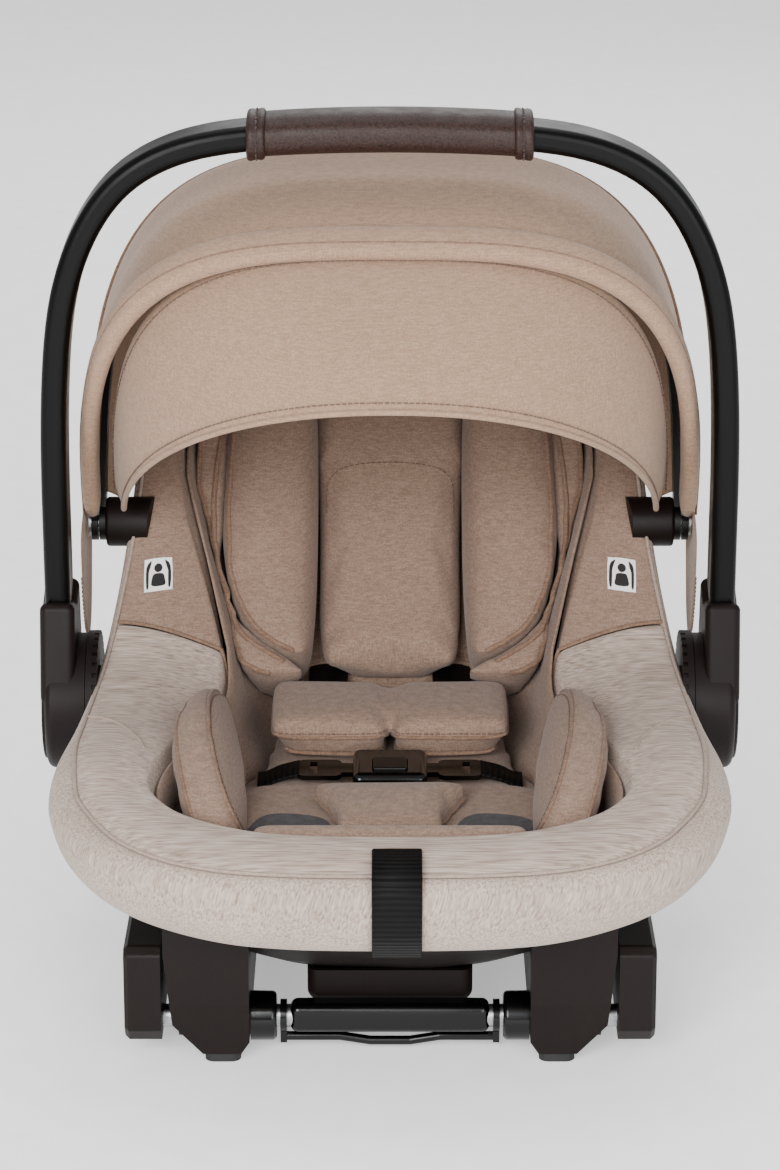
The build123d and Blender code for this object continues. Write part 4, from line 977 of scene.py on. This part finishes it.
def grip():
    """Leatherette sleeve sewn round the handle, and a stitched cuff at each end."""
    rows = []
    for i in range(41):
        x = -78 + 156 * i / 40
        full = 1 + 0.012 * math.cos(math.pi * x / 156)
        rows.append(sleeve_section(x, 22.0 * full, 12.6 * full))
    sleeve = fit(skin("grip_sleeve", rows, tube=True), LEATHER, "handle", ["handle_grip"])
    cuffs = []
    for side in (-1, 1):
        profile = [(75.5, 21.5, 12.2), (75.8, 23.4, 14.0), (77.2, 24.2, 14.8), (79.4, 24.0, 14.6),
                   (81, 23.3, 13.9), (82.6, 24.0, 14.6), (85, 24.3, 14.9), (86.8, 23.4, 14.0),
                   (87.4, 20.6, 11.2), (86.6, 18.6, 9.2)]
        rows = [sleeve_section(side * x, deep, high) for x, deep, high in profile]
        cuffs.append(skin("grip_cuff_" + ("right" if side < 0 else "left"), rows, tube=True))
    for cuff in cuffs:
        smoothed(cuff)
        fit(finished(cuff), LEATHER, "handle", ["grip_cuffs"])
    rings = [[metres(p) for p in sleeve_section(side * CUFF_GROOVE, 23.9, 14.5)] for side in (-1, 1)]
    seam = [metres((-76 + 152 * i / 30, 21.6, handle_height(-76 + 152 * i / 30) - 6)) for i in range(31)]
    for name, lines in (("grip_cuff_stitches", rings), ("grip_seam_stitches", [seam])):
        stitches(name, lines, DARK_THREAD, "handle", pitch=4.2, length=3.0, radius=0.5)


# ---- seams of the pads ---------------------------------------------------------------------------
def back(x, u, n):
    """A point on the reclined back, u up along it and n in front of it."""
    return (x, BACK_Y + u * math.cos(RECLINE) - n * math.sin(RECLINE),
            BACK_Z + u * math.sin(RECLINE) + n * math.cos(RECLINE))


def head_edge(half, foot, n, side):
    return [back(side * x, u, n) for x, u in ((half * .60, foot), (half * .86, foot + 22), (half, foot + 66),
                                              (half, foot + 140), (half * .86, 222))]


def bolster_ring(side, across, share):
    turn = (Matrix.Translation((110, -118, 152)) @ Matrix.Rotation(math.radians(-5), 4, "Z")
            @ Matrix.Rotation(math.radians(9), 4, "X") @ Matrix.Rotation(math.radians(24), 4, "Y"))
    ring = []
    for i in range(28):
        angle = 2 * math.pi * i / 28
        p = turn @ Vector((across, 88 * share * math.cos(angle), 34 * share * math.sin(angle)))
        if p.z > 134:
            ring.append((side * p.x, p.y, p.z))
    start = max(range(len(ring)), key=lambda k: (Vector(ring[k]) - Vector(ring[k - 1])).length)
    return ring[start:] + ring[:start]


def pad_seams():
    cord, sewing = {}, {}
    for side in (1, -1):
        cord.setdefault("head_wings", []).append(head_edge(106, 14, 29, side))
        cord.setdefault("head_ring", []).append(head_edge(129, 0, 24, side))
        cord["head_ring"].append(head_edge(113, 10, 26, side))
        cord.setdefault("side_bolsters", []).append(bolster_ring(side, -13, 0.86))
        cord["side_bolsters"].append(bolster_ring(side, 8, 0.98))
        sewing.setdefault("side_bolsters", []).append(bolster_ring(side, -13, 0.79))
        for z, inner, outer, y0, y1 in ((149.0, 3, 77, 20, -58), (136.0, 4, 69, 8, -50)):
            loop = [(side * inner, y0, z), (side * inner, y1 + 7, z), (side * (inner + 6), y1, z),
                    (side * (outer - 6), y1, z), (side * outer, y1 + 7, z), (side * outer, y0, z)]
            cord.setdefault("shoulder_pads", []).append(loop)
            sewing.setdefault("shoulder_pads", []).append([(x, y, z + 3.4) for x, y, z in loop])
    arc = [(-50, 128), (-47, 142), (-36, 153), (-18, 158), (0, 159), (18, 158), (36, 153), (47, 142),
           (50, 128)]
    sewing["centre_panel"] = [[back(x, u, 9) for x, u in arc]]
    cord["front_roll"] = [[(x, -233, 141) for x in range(-84, 85, 12)]]
    right = [(50, -122), (48, -132), (37, -150), (33, -168), (34, -182), (26, -187)]
    cord["crotch_pad"] = [[(x, y, 134) for x, y in right + [(-x, y) for x, y in reversed(right)]]]
    for node, lines in cord.items():
        laid = [laid_on(PAD[node], line, 0.4, steps=10) for line in lines]
        piping(node + "_piping", laid, PIPING, radius=1.7 if node.startswith("head") else 1.2)
    for node, lines in sewing.items():
        laid = [laid_on(PAD[node], line, 0.1, steps=10) for line in lines]
        stitches(node + "_stitches", laid, THREAD)


def arm_seams():
    arm = bpy.data.objects["rim_arm_cover"]
    lines = [laid_on(arm, [(side * 191, -78, 176), (side * 178, -84, 178), (side * 164, -97, 178),
                           (side * 153, -116, 174), (side * 149, -130, 172)], 0.3) for side in (1, -1)]
    piping("arm_flap_seam", lines, MELANGE_PIPING, radius=1.0)


# ---- labels and small patches --------------------------------------------------------------------
def laid_patch(name, base, middle, east, north, corners, lift, material, slot, steps=6):
    """A flat patch laid on a piece: its outline is drawn east and north of its middle."""
    tree = surface_of(base)
    origin, east, north = Vector(middle), Vector(east).normalized(), Vector(north).normalized()
    patch = blended_disc(name, corners, lambda a, b, share: origin + east * a + north * b, 4, steps)
    for vertex in patch.data.vertices:
        place, normal, _, _ = tree.find_nearest(vertex.co)
        vertex.co = place + normal * lift / 1000
    bm = bmesh.new()
    bm.from_mesh(patch.data)
    _, facing, _, _ = tree.find_nearest(metres(middle))
    if sum((f.normal * f.calc_area() for f in bm.faces), Vector()).dot(facing) < 0:
        bmesh.ops.reverse_faces(bm, faces=bm.faces)
    bm.to_mesh(patch.data)
    bm.free()
    return fit(patch, material)


def labels():
    """White woven label on each side panel, with a plain picture of a child held on both sides."""
    head_cover = bpy.data.objects["rim_head_cover"]
    square = [(-8, -11), (8, -11), (10, -9), (10, 9), (8, 11), (-8, 11), (-10, 9), (-10, -9)]
    head = [(3.0 * math.cos(k * math.pi / 4), 4.4 + 3.0 * math.sin(k * math.pi / 4)) for k in range(8)]
    guard = [(8.6, -8), (8.8, 5), (5.4, 9.4), (4.9, 8.4), (7.0, 4.4), (6.9, -8)]
    body = [(-4.4, -7.6), (4.4, -7.6), (4.6, -3), (3, 0.4), (-3, 0.4), (-4.6, -3)]
    for side, hand in SIDES:
        middle = (side * 147, 30, 234)
        east, north = (1.35, -0.35 * side, 0), (0, 0.62, 0.78)
        shown_on = (head_cover, middle, east, north)
        laid_patch("label_" + hand, *shown_on, square, 0.5, LABEL, "taupe_knit")
        laid_patch("label_head_" + hand, *shown_on, head, 0.8, LABEL_INK, "taupe_knit", 3)
        laid_patch("label_body_" + hand, *shown_on, body, 0.8, LABEL_INK, "taupe_knit", 3)
        for way, letter in ((1, "a"), (-1, "b")):
            curve = [(way * a, b) for a, b in guard]
            name = "label_guard_%s_%s" % (hand, letter)
            laid_patch(name, *shown_on, curve, 0.8, LABEL_INK, "taupe_knit", 3)


def dark_insert_patches():
    """Dark charcoal patches laid on the insert on each side of the crotch pad."""
    patch_outline = [(26, -20), (26, 6), (16, 20), (-8, 24), (-20, 10), (-22, -20)]
    for side, hand in SIDES:
        laid_patch("insert_dark_patch_" + hand, PAD["insert_base"], (side * 62, -165, 132), (1, 0, 0), (0, 1, 0),
                   patch_outline, 0.5, DARK_PATCH_KNIT, "taupe_knit")


# ---- hard parts ----------------------------------------------------------------------------------
FINISHES = [
    (SHELL, ["shell_tub", "base_rail_left", "base_rail_right", "harness_guard", "latch_arm_left",
             "latch_arm_right", "handle_hub_left", "handle_hub_right", "hub_caps", "hub_bosses",
             "canopy_mounts", "adjuster_housing"]),
    (GLOSS, ["rod_sleeve", "release_bar", "buckle_housing", "buckle_tongues", "rod_bushings"]),
    (BUTTON, ["handle_button_left", "handle_button_right", "latch_release_left", "latch_release_right",
              "adjuster_button", "buckle_button", "canopy_front_bow", "canopy_mid_bow"]),
    (RUBBER, ["foot_pads"]), (TUBE, ["handle_tube"]),
    (STEEL, ["latch_claw_left", "latch_claw_right", "claw_pins", "torsion_rod", "button_springs", "hub_pins",
             "canopy_rivets", "harness_yoke"])]


def hard_parts():
    for material, nodes in FINISHES:
        for node in nodes:
            held = CAD[node].data.materials
            if not len(held):
                held.append(material)
            for i in range(len(held)):
                held[i] = material


straps()
side_flaps()
grip()
pad_seams()
arm_seams()
labels()
dark_insert_patches()
hard_parts()
